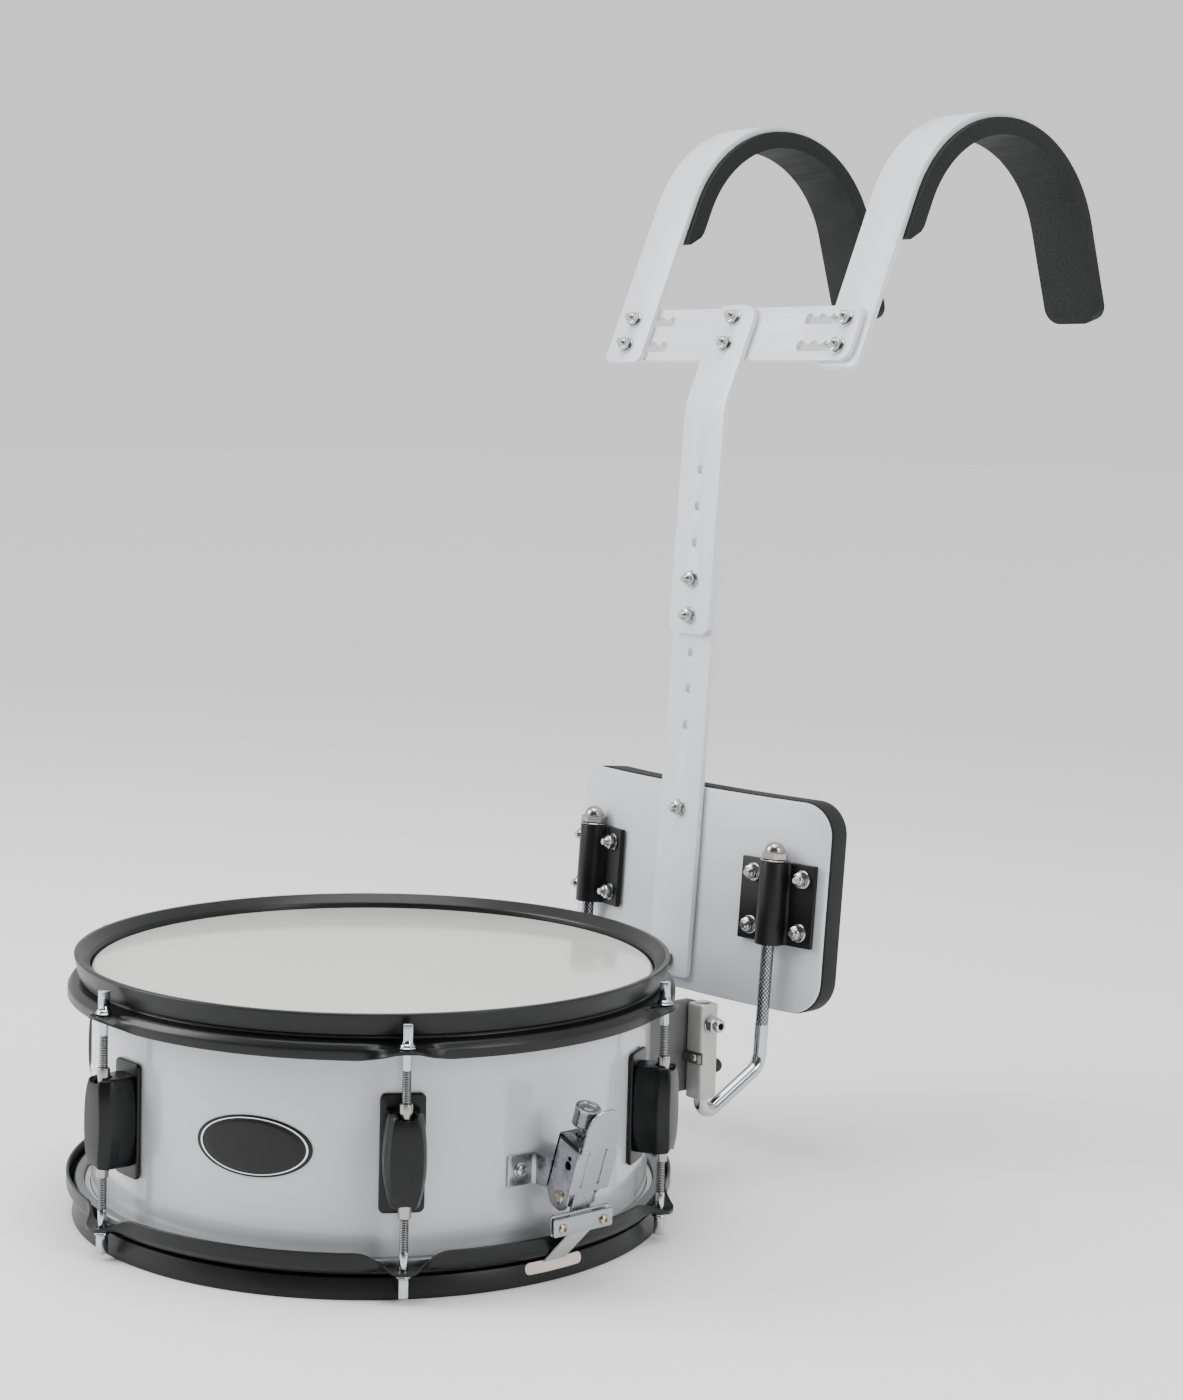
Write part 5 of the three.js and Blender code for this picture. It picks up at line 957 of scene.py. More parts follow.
def strainer_wing(side, low, high, leg_out):
    """Sheet foot that lies on the shell, and the leg that joins it to the box."""
    foot = SEAT + BOX_SHEET
    inner = arc(SEAT, radians(WING_ANGLE), asin(9.5 / SEAT), 6)
    outer = arc(foot, asin(12.5 / foot), radians(WING_ANGLE), 6)
    leg = [Vector((leg_out, 9.6)), Vector((leg_out, 10.9)), Vector((foot + 1.5, 10.9))]
    return placed(pressed([*inner, *leg, *outer], low, high), Matrix.Scale(side, 4, (0, 1, 0)))


def wing_screws(piece, height, spin, place=AS_DRAWN):
    """A washer and a crosshead screw on each foot."""
    for side in (-1, 1):
        round_shell = turn(side * FOOT_SCREW_ANGLE, "Z") @ move(x=SEAT + BOX_SHEET, z=height)
        spot = place @ round_shell @ turn(90, "Y")
        piece.take(washer(4.5, 0.8), ZINC, spot)
        piece.take(pan_head(3.6, 2.0), ZINC, spot @ turn(spin * side, "Z") @ move(z=0.8))


def make_strainer_base():
    """Folded box with keyhole cheeks, a lid over a black liner, the pivot screws and two feet."""
    piece = Piece("strainer_box", STRAINER)
    cheek = fillet([(BOX_BACK, 0), (BOX_BACK / 2, -8, 4), (BOX_FRONT, -8, 6.5),
                    (BOX_FRONT, BOX_TOP, 1.5), (BOX_BACK, BOX_TOP, 1.5)], 6)
    keyhole = [disc(0.5, 21.3, 2.7), disc(0.5, 26.0, 1.5, 14)]
    wall = pressed(cheek, 0, BOX_SHEET, holes=keyhole)
    for y in (-BOX_HALF, BOX_HALF - BOX_SHEET):
        piece.take(wall, STEEL, move(y=y) @ TO_Y)
    back = panel(-BOX_HALF, 0, BOX_HALF, BOX_TOP, 0.6)
    piece.take(sheet(back, BOX_BACK, BOX_BACK + BOX_SHEET), STEEL, TO_X)
    stem_hole = [disc(SCREW_X, 0, 3.6)]
    lid = panel(BOX_BACK, -BOX_HALF, BOX_FRONT, BOX_HALF, 1.2)
    piece.take(pressed(lid, BOX_TOP - BOX_SHEET, BOX_TOP, holes=stem_hole), STEEL)
    piece.take(sheet(panel(-12.4, -11.15, 7.15, 11.15, 1), 33.2, 34.4, stem_hole), ENAMEL)
    screw = fillet([(0, -0.4), (4, -0.4), (4, 1.0, 0.4), (2.6, 1.6, 0.4), (0, 1.6)], 3, closed=False)
    pivot = carved(spun(screw, 28), block((-3.6, -0.4, 0.8), (3.6, 0.4, 2.5)))
    for side in (-1, 1):
        piece.take(pivot, BRASS, move(y=side * BOX_HALF) @ turn(-90 * side, "X") @ turn(35, "Z"))
    piece.take(cylinder(2, -BOX_HALF, BOX_HALF, 20), STEEL, turn(90, "X"))
    low, high = 57.3, 75.5
    for side in (-1, 1):
        piece.take(strainer_wing(side, low, high, 195.45), STEEL, STRAINER.inverted() @ DRUM)
    feet = Piece("strainer_feet_screws", DRUM)
    wing_screws(feet, (low + high) / 2, 20)
    feet.done("drum", "strainer_steel")
    piece.done("drum", "strainer_steel", "strainer_base", smooth=32)


def knurled(centres, radius, around, depth, frames=None):
    """Round bar whose surface is a net of small diamonds, each raised to a point."""
    bm = bmesh.new()
    crest = bm.verts.layers.float.new("crest")
    rows = []
    for row, centre in enumerate(centres):
        side, other = frames[row] if frames else (Vector((1, 0, 0)), Vector((0, 1, 0)))
        angles = [2 * pi * (k + 0.5 * (row % 2)) / around for k in range(around)]
        rows.append([bm.verts.new(Vector(centre) + (side * cos(a) + other * sin(a)) * (radius - depth))
                     for a in angles])
    diamonds = []
    for row in range(len(rows) - 2):
        for k in range(around):
            right, left = (k, k - 1) if row % 2 == 0 else ((k + 1) % around, k)
            corners = (rows[row][k], rows[row + 1][right], rows[row + 2][k], rows[row + 1][left])
            diamonds.append(bm.faces.new(corners))
    for near, far, shift in ((rows[0], rows[1], 0), (rows[-1], rows[-2], (len(rows) - 1) % 2)):
        for k in range(around):
            bm.faces.new((near[k], near[(k + 1) % around], far[(k + shift) % around]))
    # The crest value on each raised point sets where the knurled finish paints shade into the cuts.
    for tip in bmesh.ops.poke(bm, faces=diamonds, offset=depth)["verts"]:
        tip[crest] = 1.0
    for ring in (rows[0], rows[-1]):
        bm.faces.new(ring)
    bmesh.ops.recalc_face_normals(bm, faces=bm.faces)
    return bm


def make_knob():
    """Knurled grip with a dished cap, and its screw with two collars round the box's lid."""
    piece = Piece("tension_knob", STRAINER @ move(x=SCREW_X))
    grip = knurled([(0, 0, 44 + 0.8 * k) for k in range(13)], 8, 30, 0.5)
    cap = spun(fillet([(0, 53.2), (7.7, 53.4), (7.6, 54.9, 0.5), (5.6, 54.9, 0.4), (5.2, 54.0, 0.3),
                       (2.6, 54.0, 0.3), (2.4, 54.4, 0.2), (0, 54.4)], 4, closed=False), 48)
    foot = spun(fillet([(0, 43), (7.2, 43, 0.5), (7.8, 44.1, 0.3), (0, 44.1)], 3, closed=False), 48)
    piece.take(grip, KNURL).take(foot, STEEL).take(cap, STEEL)
    collars = (28.6, 32.3)
    piece.take(cylinder(2.8, 34, 43.2, 28), STEEL)
    piece.take(thread(2, 10, collars[0], 0.8, 14), STEEL)
    for low in collars:
        piece.take(cylinder(3.2, low, low + 1.7, 28), STEEL)
    piece.take(cylinder(2, collars[0], 34.5, 20), STEEL)
    piece.done("strainer_knob", "strainer_steel", "strainer_knob", smooth=30)


def strap_plate(high, inner):
    """Plate across a strap, 1.6 mm thick outwards from its inner face."""
    return pressed(panel(-22, 34.7, 22, high, 1.4), inner, inner + 1.6, 0.35)


def make_clamps():
    """Cover plate over each strap's end, with two crosshead screws through it."""
    shank, height = cylinder(1.5, 0, 5, 16), 39.1
    for side, body, node in ((AS_DRAWN, "snare_clamp", "strainer_clamp"),
                             (mirror_x(), "drum", "butt_clamp")):
        piece = Piece(node + "_cover", DRUM)
        piece.take(strap_plate(45.3, STRAP_OUT), STEEL, side @ TO_X)
        for y in (-15.5, 15.5):
            screw = side @ move(STRAP_OUT + 1.6, y, height) @ turn(90, "Y") @ turn(30, "Z")
            piece.take(pan_head(3, 1.9), BRASS, screw)
            piece.take(shank, STEEL, side @ move(STRAP_IN, y, height) @ turn(90, "Y"))
        piece.done(body, "strainer_steel", node, smooth=32)


def make_carriage():
    """Channel that the lever draws up and down inside the strainer's box."""
    piece = Piece("lifting_channel", STRAINER)
    left, right, side, wall = -10.9, 5.8, 7.2, 1.4
    low, high = -4, 32
    channel = [(right, -side), (right, -side + wall), (left + wall, -side + wall),
               (left + wall, side - wall), (right, side - wall), (right, side),
               (left, side, 1.2), (left, -side, 1.2)]
    piece.take(pressed(fillet(channel, 3), low, high, 0.25), STEEL)
    piece.take(sheet(panel(left, -side, right, side, 0.8), low, low + wall), STEEL)
    bridge = panel(SCREW_X - 4, -side + 0.6, SCREW_X + 4, side - 0.6, 0.5)
    piece.take(sheet(bridge, high - wall, high, [disc(SCREW_X, 0, 3.5)]), STEEL)
    piece.done("strainer_carriage", "strainer_steel", "strainer_carriage", smooth=32)


def make_clamp_carrier():
    """Nut that the tension screw draws along, its hanging leg and the strap's back plate."""
    piece = Piece("clamp_traveller", STRAINER)
    nut = pressed(panel(-9.2, -5.4, 7.4, 5.4, 0.8), 20, 23, holes=[disc(SCREW_X, 0, 2.15)])
    piece.take(nut, STEEL)
    piece.take(pressed(panel(-7.4, -8.2, 7.4, 23, 1.2), 7, 8.4), STEEL, TO_X)
    piece.take(strap_plate(47, STRAP_IN), STEEL, STRAINER.inverted() @ DRUM @ TO_X)
    piece.done("snare_clamp", "strainer_steel", "strainer_clamp_carrier", smooth=32)


def make_butt():
    """Fixed end: a bridge on two feet, and a bent arm that ends in the clamp's back plate."""
    piece = Piece("butt_bridge", DRUM)
    flip, low, high, face = mirror_x(), 52, 80, 187.7
    for side in (-1, 1):
        piece.take(strainer_wing(side, low, high, 188.8), STEEL, flip)
    wing_screws(piece, (low + high) / 2, 15, flip)
    bridge = pressed(panel(-BOX_HALF, low, BOX_HALF, high, 1.5), face, face + BOX_SHEET)
    piece.take(bridge, STEEL, flip @ TO_X)
    path = fillet([(188.6, 60), (188.6, 53.5, 2), (207.4, 53.5, 3), (207.4, 35.1)], 6, closed=False)
    piece.take(eased(ribbon(path, BOX_SHEET, 12), 0.3, 2, 50), STEEL, flip)
    piece.take(strap_plate(47, STRAP_IN), STEEL, flip @ TO_X)
    piece.done("drum", "strainer_steel", "butt_plate", smooth=32)


def make_straps():
    """Strap from each clamp down through the rim's slot to the snare wires."""
    out, under = 208.4, 7.0
    corners = [(out, 45.3), (out, 34.8, 3), (186.4, 13.0, 5), (180.5, under, 6), (162.3, under)]
    path = divided(fillet(corners, 8, closed=False), 2.5)
    for side, node, body in ((AS_DRAWN, "snare_strap_front", None),
                             (mirror_x(), "snare_strap_rear", "drum")):
        piece = Piece("woven_" + node, DRUM).take(ribbon(path, 0.8, 8), WEAVE, side)
        strap = piece.done(body, "snare_strap", node, smooth=40)
        if body is None:
            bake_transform(strap)


def make_wires():
    """Coiled snare wires between two end plates under the lower head."""
    piece = Piece("snare_coils", DRUM)
    half_long, height, wires, spacing = 151, 6.5, 20, 2
    strand = cylinder(0.75, -half_long, half_long, 10)
    for k in range(wires):
        across = spacing * (k - (wires - 1) / 2)
        piece.take(strand, COIL, move(y=across, z=height) @ turn(90, "Y"))
    plate = eased(block((-6, -21, -0.9), (6, 21, 0.9)), 0.4, 2)
    for side in (-1, 1):
        piece.take(plate, WIRE, move(side * (half_long + 5), 0, height))
    piece.done("drum", "strainer_steel", "snare_wires", smooth=45)


# ---------------------------------------------------------------- receivers, hook rods and clamps

ROD_X, ROD_Y = 94.03, 198.7  # a hook rod's tip, which stands upright in its receiver
ROD_BORE = 5.15
WEB_IN, WEB_OUT, WEB_LOW, WEB_HIGH = 81.2, 86.2, 62, 123
BOLT_Z = 109  # through bolt of the block
LOCK_Y, LOCK_Z = 210.6, 78  # black lock screw
KNURL_END = 97.0  # the rod is smooth below this height


def web_plate():
    """Upright plate that stands out from the shell."""
    shape = fillet([(155, WEB_LOW, 0), (214, WEB_LOW, 5), (214, 117, 10), (196, WEB_HIGH, 8),
                    (155, WEB_HIGH, 0)], 5)
    return carved(placed(pressed(shape, WEB_IN, WEB_OUT, 0.5), TO_X), cylinder(SEAT, 50, 130, 240))


def flange_plate():
    """Curved foot that lies on the shell inside the web."""
    out = SEAT + 3
    first, last = pi / 2 - asin(69.2 / SEAT), pi / 2 - asin(WEB_OUT / out)
    return pressed(arc(SEAT, first, last, 8) + arc(out, last, first, 8), WEB_LOW, WEB_HIGH, 0.4)


def receiver_parts():
    """The bracket with its bolts, nut, lock screw and cotter, as (part, finish, place)."""
    nut_spot = move(101.8, ROD_Y, BOLT_Z) @ turn(90, "Y")
    collar = fillet([(2.4, 1), (4.2, 1), (4.2, 10.2, 0.7), (2.4, 10.2)], 3)
    bolt_end = spun([(0, 0), (2.4, 0), (2.4, 8.4), (1.4, 8.4), (1.4, 6.6), (0, 6.6)], 18)
    lock = fillet([(0, 0), (4.6, 0), (4.9, 9, 1.5), (3.6, 11.6, 1.2), (0, 12)], 3, closed=False)
    stud = fillet([(0, 0), (2.2, 0), (2.2, 4.2, 0.7), (0, 4.2)], 3, closed=False)
    # Web and flange in the darker grey, which is painted shade.
    parts = [(web_plate(), WEB_SHADE_GREY, AS_DRAWN), (flange_plate(), WEB_SHADE_GREY, AS_DRAWN)]
    for y, z in ((ROD_Y, BOLT_Z), (LOCK_Y, LOCK_Z)):
        spot = move(WEB_IN, y, z) @ turn(-90, "Y")
        parts += [(washer(5.2, 1.0), ZINC, spot), (hexagon(4.6, 1.0, 4.2), ZINC, spot)]
    return parts + [
        (washer(5.8, 1.2), ZINC, nut_spot),
        (hexagon(5.9, 1.2, 6.4, 2.6), ZINC, nut_spot),
        (spun(collar, 24, closed=True), ZINC, nut_spot),
        (bolt_end, ENAMEL, nut_spot),
        (spun(lock, 28), HOOP, move(WEB_OUT, LOCK_Y, LOCK_Z) @ turn(90, "Y")),
        (eased(block((73.7, 188.2, 83.0), (101.8, 191.4, 89.0)), 0.5, 2), COTTER, AS_DRAWN),
        (spun(stud, 20), BRASS, move(98.4, 190.6, 86) @ turn(70, "X"))]


def receiver_body():
    """Block with the rod's bore through it and a notch for the cotter."""
    bore = spun([(0, 50), (ROD_BORE, 50), (ROD_BORE, 120.8), (6.4, 122.4), (6.4, 130), (0, 130)], 36)
    return carved(eased(block((86.6, 191.2, 58), (101.5, 206.2, 122)), 2.0, 4),
                  placed(bore, move(94, ROD_Y)), block((70, 180, 81.9), (110, 192.9, 90.1)))


def make_receivers():
    parts, body = receiver_parts(), receiver_body()
    for name, side in (("right", AS_DRAWN), ("left", mirror_x())):
        bracket = Piece("receiver_web_" + name, DRUM)
        for part, finish, place in parts:
            bracket.take(part, finish, side @ place)
        bracket.done("drum", "receiver_grey", "receiver_bracket_" + name, smooth=32)
        socket = Piece("receiver_socket_" + name, DRUM).take(body, BLOCK, side)
        socket.done("drum", "receiver_grey", "receiver_block_" + name, smooth=32)


def rod_stations(corners, step):
    """Centres along a bent path in Y and Z, each with its two cross directions."""
    path = divided(fillet(corners, 14, closed=False), step)
    side = Vector((1, 0, 0))
    stations = []
    for i, here in enumerate(path):
        line = (path[min(i + 1, len(path) - 1)] - path[max(i - 1, 0)]).normalized()
        other = Vector((0, line.x, line.y)).cross(side)
        stations.append((Vector((0, here.x, here.y)), side, other))
    return stations


def rod_body(stations, radius, steps):
    circle = disc(0, 0, radius, steps)
    return strip_solid([[centre + side * p.x + other * p.y for p in circle]
                        for centre, side, other in stations])


def make_hook_rods():
    """Bent rod: knurled upright, smooth bend and the tip that stands in the receiver."""
    corners = [(260.85, 216.3), (251.56, 72, 14), (ROD_Y, 43, 8), (ROD_Y, 96)]
    radius, outer_leg = 4.7, 250
    stations = rod_stations(corners, 2.5)
    upper = [s for s in stations if s[0].y > outer_leg and s[0].z > KNURL_END]
    lower = stations[len(upper) - 2:]
    rows = [s for s in rod_stations(corners, 1.5) if s[0].y > outer_leg and s[0].z > KNURL_END - 2]
    knurl = knurled([row[0] for row in rows], radius + 0.2, 11, 0.55, [row[1:] for row in rows])
    smooth = rod_body(lower, radius, 36)
    tip = spun(fillet([(0, -0.2), (radius, -0.2), (radius, 1.4, 1.1), (0, 1.4)], 4, closed=False), 36)
    dome = [(0, 6.2), (7.0, 6.2), *[(7.0 * cos(radians(a)), 6.9 + 6.3 * sin(radians(a)))
                                    for a in range(0, 90, 10)], (0, 13.2)]
    for name, side in (("right", 1), ("left", -1)):
        piece = Piece("hook_bar_" + name, DRUM @ move(x=side * ROD_X))
        piece.take(knurl, KNURL).take(smooth, CHROME)
        piece.take(tip, CHROME, Matrix.Translation(lower[-1][0]))
        piece.done("hooks", "chrome", "hook_rod_" + name, smooth=32)
        nut = Piece("cap_nut_dome_" + name, clamp_place(side) @ move(y=-ROD_OFFSET, z=101.8))
        nut.take(washer(9.4, 1.1), NICKEL).take(hexagon(9.4, 1.1, 6.4), NICKEL)
        nut.take(spun(dome, 40), NICKEL)
        nut.done("hooks", "chrome", "cap_nut_" + name, smooth=35)


def clamp_place(side):
    """Frame of a rod clamp: bent round the plate's centre by its angle."""
    around = turn(side * degrees(CLAMP_ANGLE), "Z")
    return CARRIER @ move(y=PLATE_CURVE) @ around @ move(y=-PLATE_CURVE)


def make_rod_clamps():
    """Half-round saddle on two flanges, held by four bolts with locking nuts."""
    middle, back, flange, half = (0, -ROD_OFFSET), -0.3, -3.8, 30
    outline = [(-half, back), (-half, flange), (-10.6, flange), (-9.35, -5.2),
               *arc(9.25, pi, 2 * pi, 20, middle), (9.35, -5.2), (10.6, flange), (half, flange),
               (half, back), (ROD_BORE, back), *arc(ROD_BORE, 2 * pi, pi, 16, middle),
               (-ROD_BORE, back)]
    saddle = eased(sheet(outline, 45.5, 101.5), 0.7, 3, 40)
    for name, side in (("right", 1), ("left", -1)):
        piece = Piece("saddle_clamp_" + name, clamp_place(side)).take(saddle, ENAMEL)
        for x in (-20, 20):
            for z in (55.5, 91.5):
                spot = move(x, flange, z) @ turn(90, "X")
                piece.take(washer(6.2, 1.3), ZINC, spot)
                for part in lock_nut(5.2, 5.2, 2.4):
                    piece.take(part, ZINC, spot @ move(z=1.3) @ turn(12 * side + 7, "Z"))
        piece.done("carrier", "carrier_black", "rod_clamp_" + name, smooth=32)


# ---------------------------------------------------------------- belly plate and bars

BELLY_HALF, BELLY_HIGH, BELLY_CORNER = PLATE_CURVE * 0.268, 142.4, 22


def belly_slab(over, front, back, soft, segments):
    """Slab bent round the plate's centre between two depths, larger than the plate by over."""
    half, strips = BELLY_HALF + over, 32
    corners = panel(-half, -over, half, BELLY_HIGH + over, BELLY_CORNER + over, 10)
    outline = divided(corners, 8, closed=True)
    bm = bmesh.new()
    bm.faces.new(loop_edges(bm, outline, 0)[0])
    for k in range(1, strips):
        scored(bm, (-half + 2 * half * k / strips, 0, 0), (1, 0, 0))
    thickened(bm, back - front)
    bmesh.ops.recalc_face_normals(bm, faces=bm.faces)
    eased(bm, soft, segments, 50)
    for vert in bm.verts:
        around, depth, height = vert.co.x / PLATE_CURVE, front + vert.co.z, vert.co.y
        radius = PLATE_CURVE - depth
        vert.co = (radius * sin(around), PLATE_CURVE - radius * cos(around), height)
    bmesh.ops.recalc_face_normals(bm, faces=bm.faces)
    return bm


def scored(bm, point, normal):
    """Splits the faces that a plane crosses, so that they can bend there."""
    geometry = bm.verts[:] + bm.edges[:] + bm.faces[:]
    bmesh.ops.bisect_plane(bm, geom=geometry, plane_co=point, plane_no=normal, dist=0.001)


def bolt_row(piece, face, heights, tilt):
    """Washer, locking nut and screw end at each height, on the face that looks along -Y."""
    for k, z in enumerate(heights):
        place = move(0, face, z) @ turn(90, "X")
        piece.take(washer(6.1, 1.2), ZINC, place)
        for part in lock_nut(5.0, 5.0, 2.4):
            piece.take(part, ZINC, place @ move(z=1.2) @ turn(17 * k + tilt, "Z"))


def make_plate():
    plate = Piece("belly_guard", CARRIER).take(belly_slab(0, 0, BAR, 1.0, 3), PLATE)
    plate.done("carrier", "white_powder", "belly_plate", smooth=32)
    pad = Piece("belly_foam", CARRIER).take(belly_slab(0.8, BAR + 0.1, 23.8, 1.6, 4), FOAM)
    pad.done("carrier", "foam_black", "belly_pad", smooth=50)


def height_hole(z):
    """One of the oblong holes that set the carrier's height."""
    return panel(-2.7, z - 3.3, 2.7, z + 3.3, 2.43)


def bent_back(bm, face, bend, lean):
    """Bends an upright bar back by lean radians over 12 mm of its length round bend."""
    length = 12
    radius = length / lean
    for vert in bm.verts:
        run = vert.co.z - bend + length / 2
        share = min(max(run / length, 0), 1)
        if share > 0:
            swing, depth, past = lean * share, vert.co.y - face, max(run - length, 0)
            vert.co.y = face + radius * (1 - cos(swing)) + past * sin(lean) + depth * cos(swing)
            vert.co.z = (bend - length / 2 + radius * sin(swing) + past * cos(lean)
                         - depth * sin(swing))


def make_bars():
    """Lower bar on the plate, and the upper one over it that leans back to the yoke."""
    half, front = 20, 0.3
    lower = Piece("lower_strut", CARRIER)
    holes = [height_hole(z) for z in (235, 209.5, 184)]
    bar = pressed(panel(-half, 8.5, half, 298, 5), front, front + BAR, 0.6, 3, holes)
    lower.take(bar, WHITE, turn(90, "X"))
    bolt_row(lower, -front - BAR, (19.5, 126), 9)
    lower.done("carrier", "white_powder", "lower_bar", smooth=32)

    low, bend, top = 248.0, 406.7, 482.0
    front += BAR + 0.3
    outline = fillet([(-half, low + 5, 2.5), (-14, low, 3), (14, low, 3), (half, low + 5, 2.5),
                      (half, top, 12), (-half, top, 9)], 6)
    holes = [height_hole(z) for z in (362.5, 337, 311.5)]
    bar = pressed(outline, front, front + BAR, 0.6, 3, holes)
    for step in range(-6, 7, 2):
        scored(bar, (0, bend + step, 0), (0, 1, 0))
    placed(bar, turn(90, "X"))
    bent_back(bar, -front, bend, 0.33)
    upper = Piece("upper_strut", CARRIER).take(bar, WHITE)
    bolt_row(upper, -front - BAR, (286, 260.5), 4)
    upper.done("carrier", "white_powder", "upper_bar", smooth=32)


# ---------------------------------------------------------------- yoke and shoulders

YOKE_BOLTS = (66, 46)  # heights of the two rows of slots and bolts


def notched_slot(side, middle):
    """Adjustment slot with small round notches along its upper edge."""
    end, first, last = 3.4, 66.0, 109.0
    points = arc(end, -pi / 2, pi / 2, 8, (last - end, middle))[:-1]
    for notch in (105.7, 93.7, 81.7, 69.7):
        points += arc(3.7, radians(20), radians(160), 6, (notch, middle + 1))
    points += arc(end, pi / 2, 3 * pi / 2, 8, (first + end, middle))[1:]
    loop = [Vector((side * p.x, p.y)) for p in points]
    return loop if side > 0 else loop[::-1]


def make_cross_bar():
    holes = [notched_slot(side, z) for side in (1, -1) for z in YOKE_BOLTS]
    plate = pressed(panel(-118, 36, 118, 76, 9, 8), -0.3 - BAR, -0.3, 0.6, 3, holes)
    piece = Piece("yoke_plate", YOKE).take(plate, WHITE, turn(90, "X"))
    bolt_row(piece, -4.0, YOKE_BOLTS, 6)
    piece.done("carrier", "white_powder", "cross_bar", smooth=32)


def shoulder_path(front):
    """Points (y, z, turn) up a shoulder bar's face, round its arc and down its straight end."""
    low, high, radius, swing, straight = 33, 162, 100.0, 2.442, 70.2
    points = [(front, low + (high - low) * k / 28, 0.0) for k in range(28)]
    for k in range(49):
        a = swing * k / 48
        points.append((front + radius * (1 - cos(a)), high + radius * sin(a), a))
    y, z, a = points[-1]
    for k in range(1, 17):
        run = straight * k / 16
        points.append((y + run * sin(a), z + run * cos(a), a))
    return points


def distances(path):
    """How far along the path each of its points lies."""
    lengths = [0.0]
    for before, here in zip(path, path[1:]):
        lengths.append(lengths[-1] + hypot(here[0] - before[0], here[1] - before[1]))
    return lengths


def across_path(point, wide, outer, inner):
    """Ring of a strip at one point of a path, between two depths measured inwards."""
    y, z, a = point
    return [Vector((x, y + depth * cos(a), z - depth * sin(a)))
            for x, depth in ((-wide, outer), (wide, outer), (wide, inner), (-wide, inner))]


def rounded_in(near, corner):
    """How much a rounded corner takes off the half width this near to an end."""
    return corner - sqrt(corner ** 2 - (corner - near) ** 2) if near < corner else 0.0


def shoulder_bar(path):
    """Flat bar along the path, with round corners at both ends."""
    lengths, rings = distances(path), []
    for point, at in zip(path, lengths):
        wide = 19 - max(rounded_in(at, 5.5), rounded_in(lengths[-1] - at, 8.0))
        rings.append(across_path(point, wide, 0, BAR))
    return eased(strip_solid(rings), 0.6, 2, 40)


def ends_refined(path):
    """The same path with closer points at both ends, so that its corners are round."""
    lengths = distances(path)
    near = [13.0 * (k / 14) ** 2 for k in range(14)]
    wanted = sorted({round(v, 3) for v in lengths} | {*near} | {lengths[-1] - v for v in near})
    fine = []
    for at in wanted:
        k = min(max(sum(1 for v in lengths if v <= at) - 1, 0), len(path) - 2)
        share = (at - lengths[k]) / (lengths[k + 1] - lengths[k])
        fine.append(tuple(p + (q - p) * share for p, q in zip(path[k], path[k + 1])))
    return fine


def make_shoulders():
    for name, x, front, outward in (("left", -105, -4.0, -4.0), ("right", 105, 4.6, 0.3)):
        path = ends_refined(shoulder_path(front))
        bar = Piece("shoulder_strut_" + name, YOKE @ move(x=x)).take(shoulder_bar(path), WHITE)
        bolt_row(bar, outward, YOKE_BOLTS, 11)
        bar.done("shoulder_" + name, "white_powder", "shoulder_bar_" + name, smooth=32)
        pad = Piece("shoulder_foam_" + name, YOKE @ move(x=x))
        pad.take(shoulder_pad([p for p in path if p[1] >= 126 or p[2] > 0]), FOAM)
        made = pad.done("shoulder_" + name, "foam_black", "shoulder_pad_" + name, smooth=60)


def shoulder_pad(path):
    """Closed-cell foam glued inside the bar: a slanted cut in front, a rounded end behind."""
    cut, lengths, rings = 11, distances(path), []
    for point, at in zip(path, lengths):
        inner = 16.3 - 8.5 * max(1 - at / cut, 0)
        wide = 23.0 - rounded_in(lengths[-1] - at, 12)
        rings.append(across_path(point, wide, BAR + 0.3, inner))
    return eased(strip_solid(rings), 1.3, 3, 40)


# ---------------------------------------------------------------- studio


def make_camera():
    """The photograph's camera: azimuth, dip and tilt in radians, and its place in metres."""
    yaw, pitch, roll = -0.8598, 0.0804, 0.0253
    ahead = Vector((sin(yaw) * cos(pitch), cos(yaw) * cos(pitch), -sin(pitch)))
    level = Vector((cos(yaw), -sin(yaw), 0))
    up = level.cross(ahead)
    right = level * cos(roll) + up * sin(roll)
    above = up * cos(roll) - level * sin(roll)
    data = bpy.data.cameras.new("photo_camera")
    data.sensor_fit = "AUTO"
    data.sensor_width = 36
    data.lens = 66.397
    data.shift_x = -0.01426
    data.shift_y = -0.04884
    data.clip_start = 0.05
    data.clip_end = 50
    camera = bpy.data.objects.new("photo_camera", data)
    bpy.context.scene.collection.objects.link(camera)
    facing = Matrix((right, above, -ahead)).transposed().to_4x4()
    camera.matrix_world = Matrix.Translation((1.31498, -1.12312, 0.50150)) @ facing
    bpy.context.scene.camera = camera


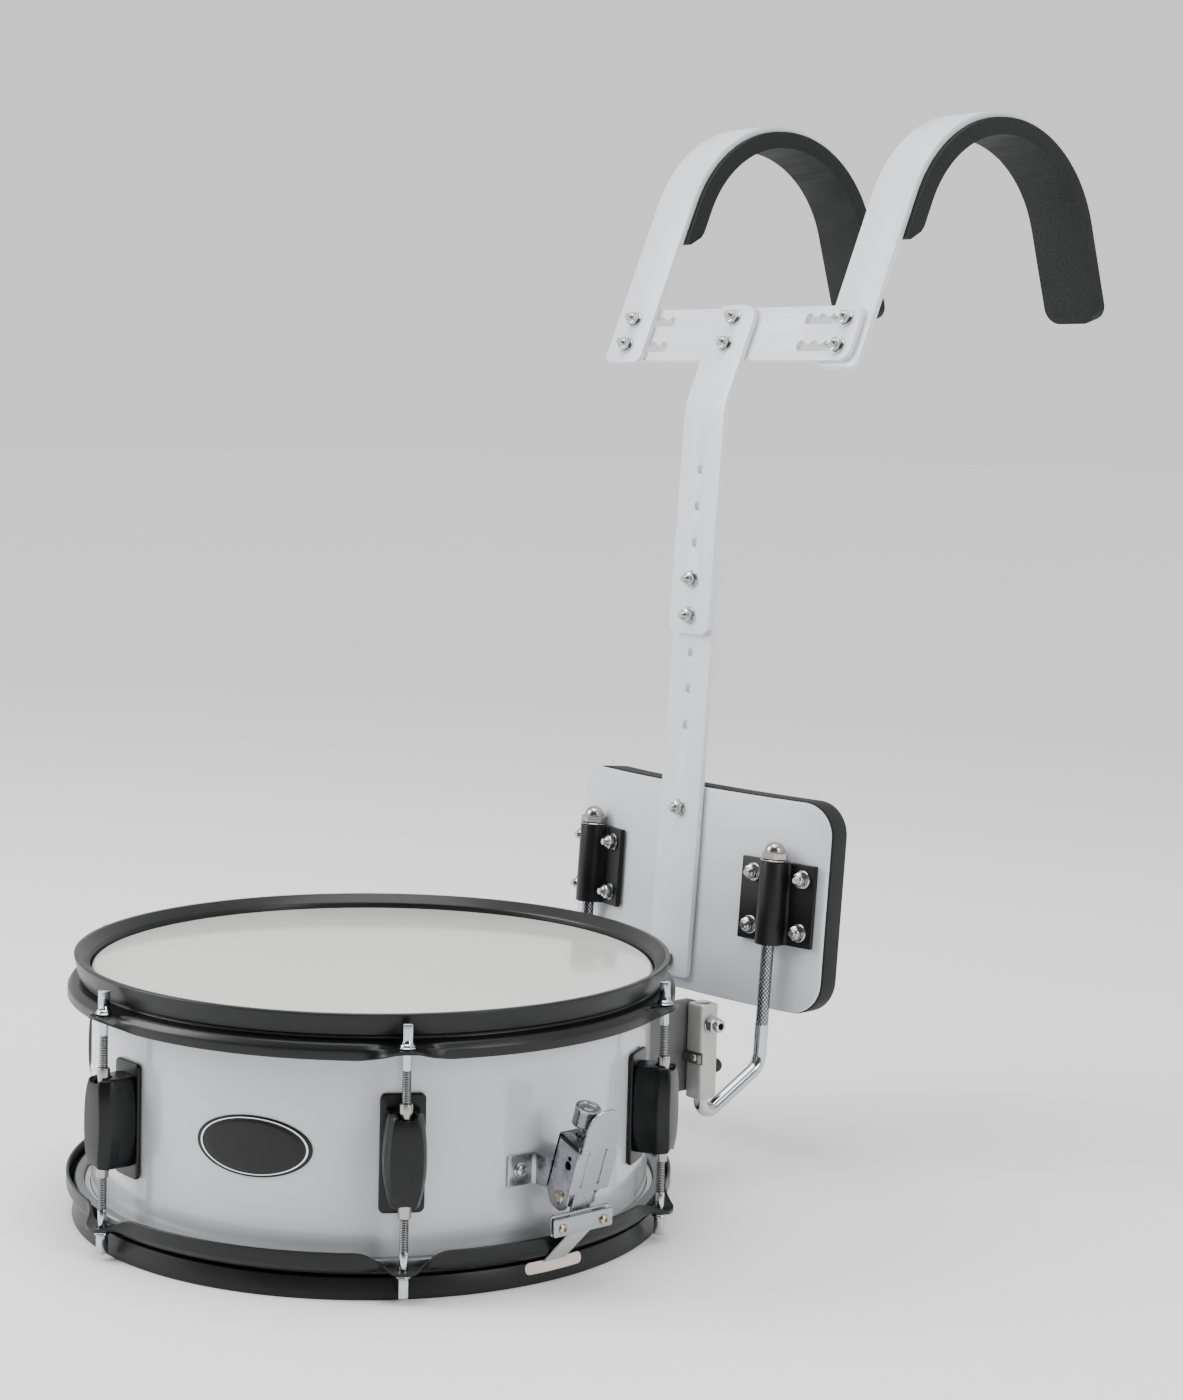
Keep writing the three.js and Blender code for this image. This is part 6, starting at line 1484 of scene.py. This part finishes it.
def make_floor():
    """Pale paper, a little brighter far away."""
    bm = bmesh.new()
    bmesh.ops.create_grid(bm, x_segments=2, y_segments=2, size=30)
    floor = as_object(bm, "studio_floor")
    bm.free()
    paper = Finish("floor_paper", (0.88, 0.88, 0.885), 0.9)
    away = (paper.across(0) ** 2 + paper.across(1) ** 2) ** 0.5
    paper.set("Emission Color", (1, 1, 1, 1))
    paper.set("Emission Strength", 0.06 + 0.3 * away.smooth(0.6, 6.0))
    floor.data.materials.append(paper.material)


def area_light(name, place, aim, wide, tall, power):
    data = bpy.data.lights.new(name, "AREA")
    data.shape = "RECTANGLE"
    data.size = wide
    data.size_y = tall
    data.energy = power
    lamp = bpy.data.objects.new(name, data)
    bpy.context.scene.collection.objects.link(lamp)
    lamp.location = place
    lamp.rotation_euler = (Vector(aim) - Vector(place)).to_track_quat("-Z", "Y").to_euler()


def make_lights():
    """Three soft lamps, and surroundings that are bright behind the object and dim before it."""
    world = bpy.data.worlds.new("studio")
    world.use_nodes = True
    nodes, links = world.node_tree.nodes, world.node_tree.links
    direction = nodes.new("ShaderNodeTexCoord")
    toward = nodes.new("ShaderNodeVectorMath")
    toward.operation = "DOT_PRODUCT"
    toward.inputs[1].default_value = (0.76, -0.64, 0.0)
    shade = nodes.new("ShaderNodeMapRange")
    shade.interpolation_type = "SMOOTHSTEP"
    for label, value in zip(("From Min", "From Max", "To Min", "To Max"), (0.1, 0.62, 1.0, 0.1)):
        shade.inputs[label].default_value = value
    links.new(direction.outputs["Generated"], toward.inputs[0])
    links.new(toward.outputs["Value"], shade.inputs["Value"])
    links.new(shade.outputs["Result"], nodes["Background"].inputs["Strength"])
    nodes["Background"].inputs["Color"].default_value = (1, 1, 1, 1)
    bpy.context.scene.world = world
    area_light("left_softbox", (-1.5, -2.1, 1.6), (0, 0, 0.25), 1.3, 1.8, 80)
    area_light("right_softbox", (2.5, 0.2, 1.3), (0, 0, 0.3), 0.9, 1.6, 36)
    area_light("top_softbox", (0.1, -0.3, 2.6), (0, 0, 0.2), 1.8, 1.8, 52)


make_shell_and_heads()
make_vent_and_badge()
make_lugs()
make_rods()
make_lever()
make_strainer_base()
make_knob()
make_clamps()
make_carriage()
make_clamp_carrier()
make_butt()
make_straps()
make_wires()
make_receivers()
make_hook_rods()
make_rod_clamps()
make_plate()
make_bars()
make_cross_bar()
make_shoulders()
make_camera()
make_floor()
make_lights()
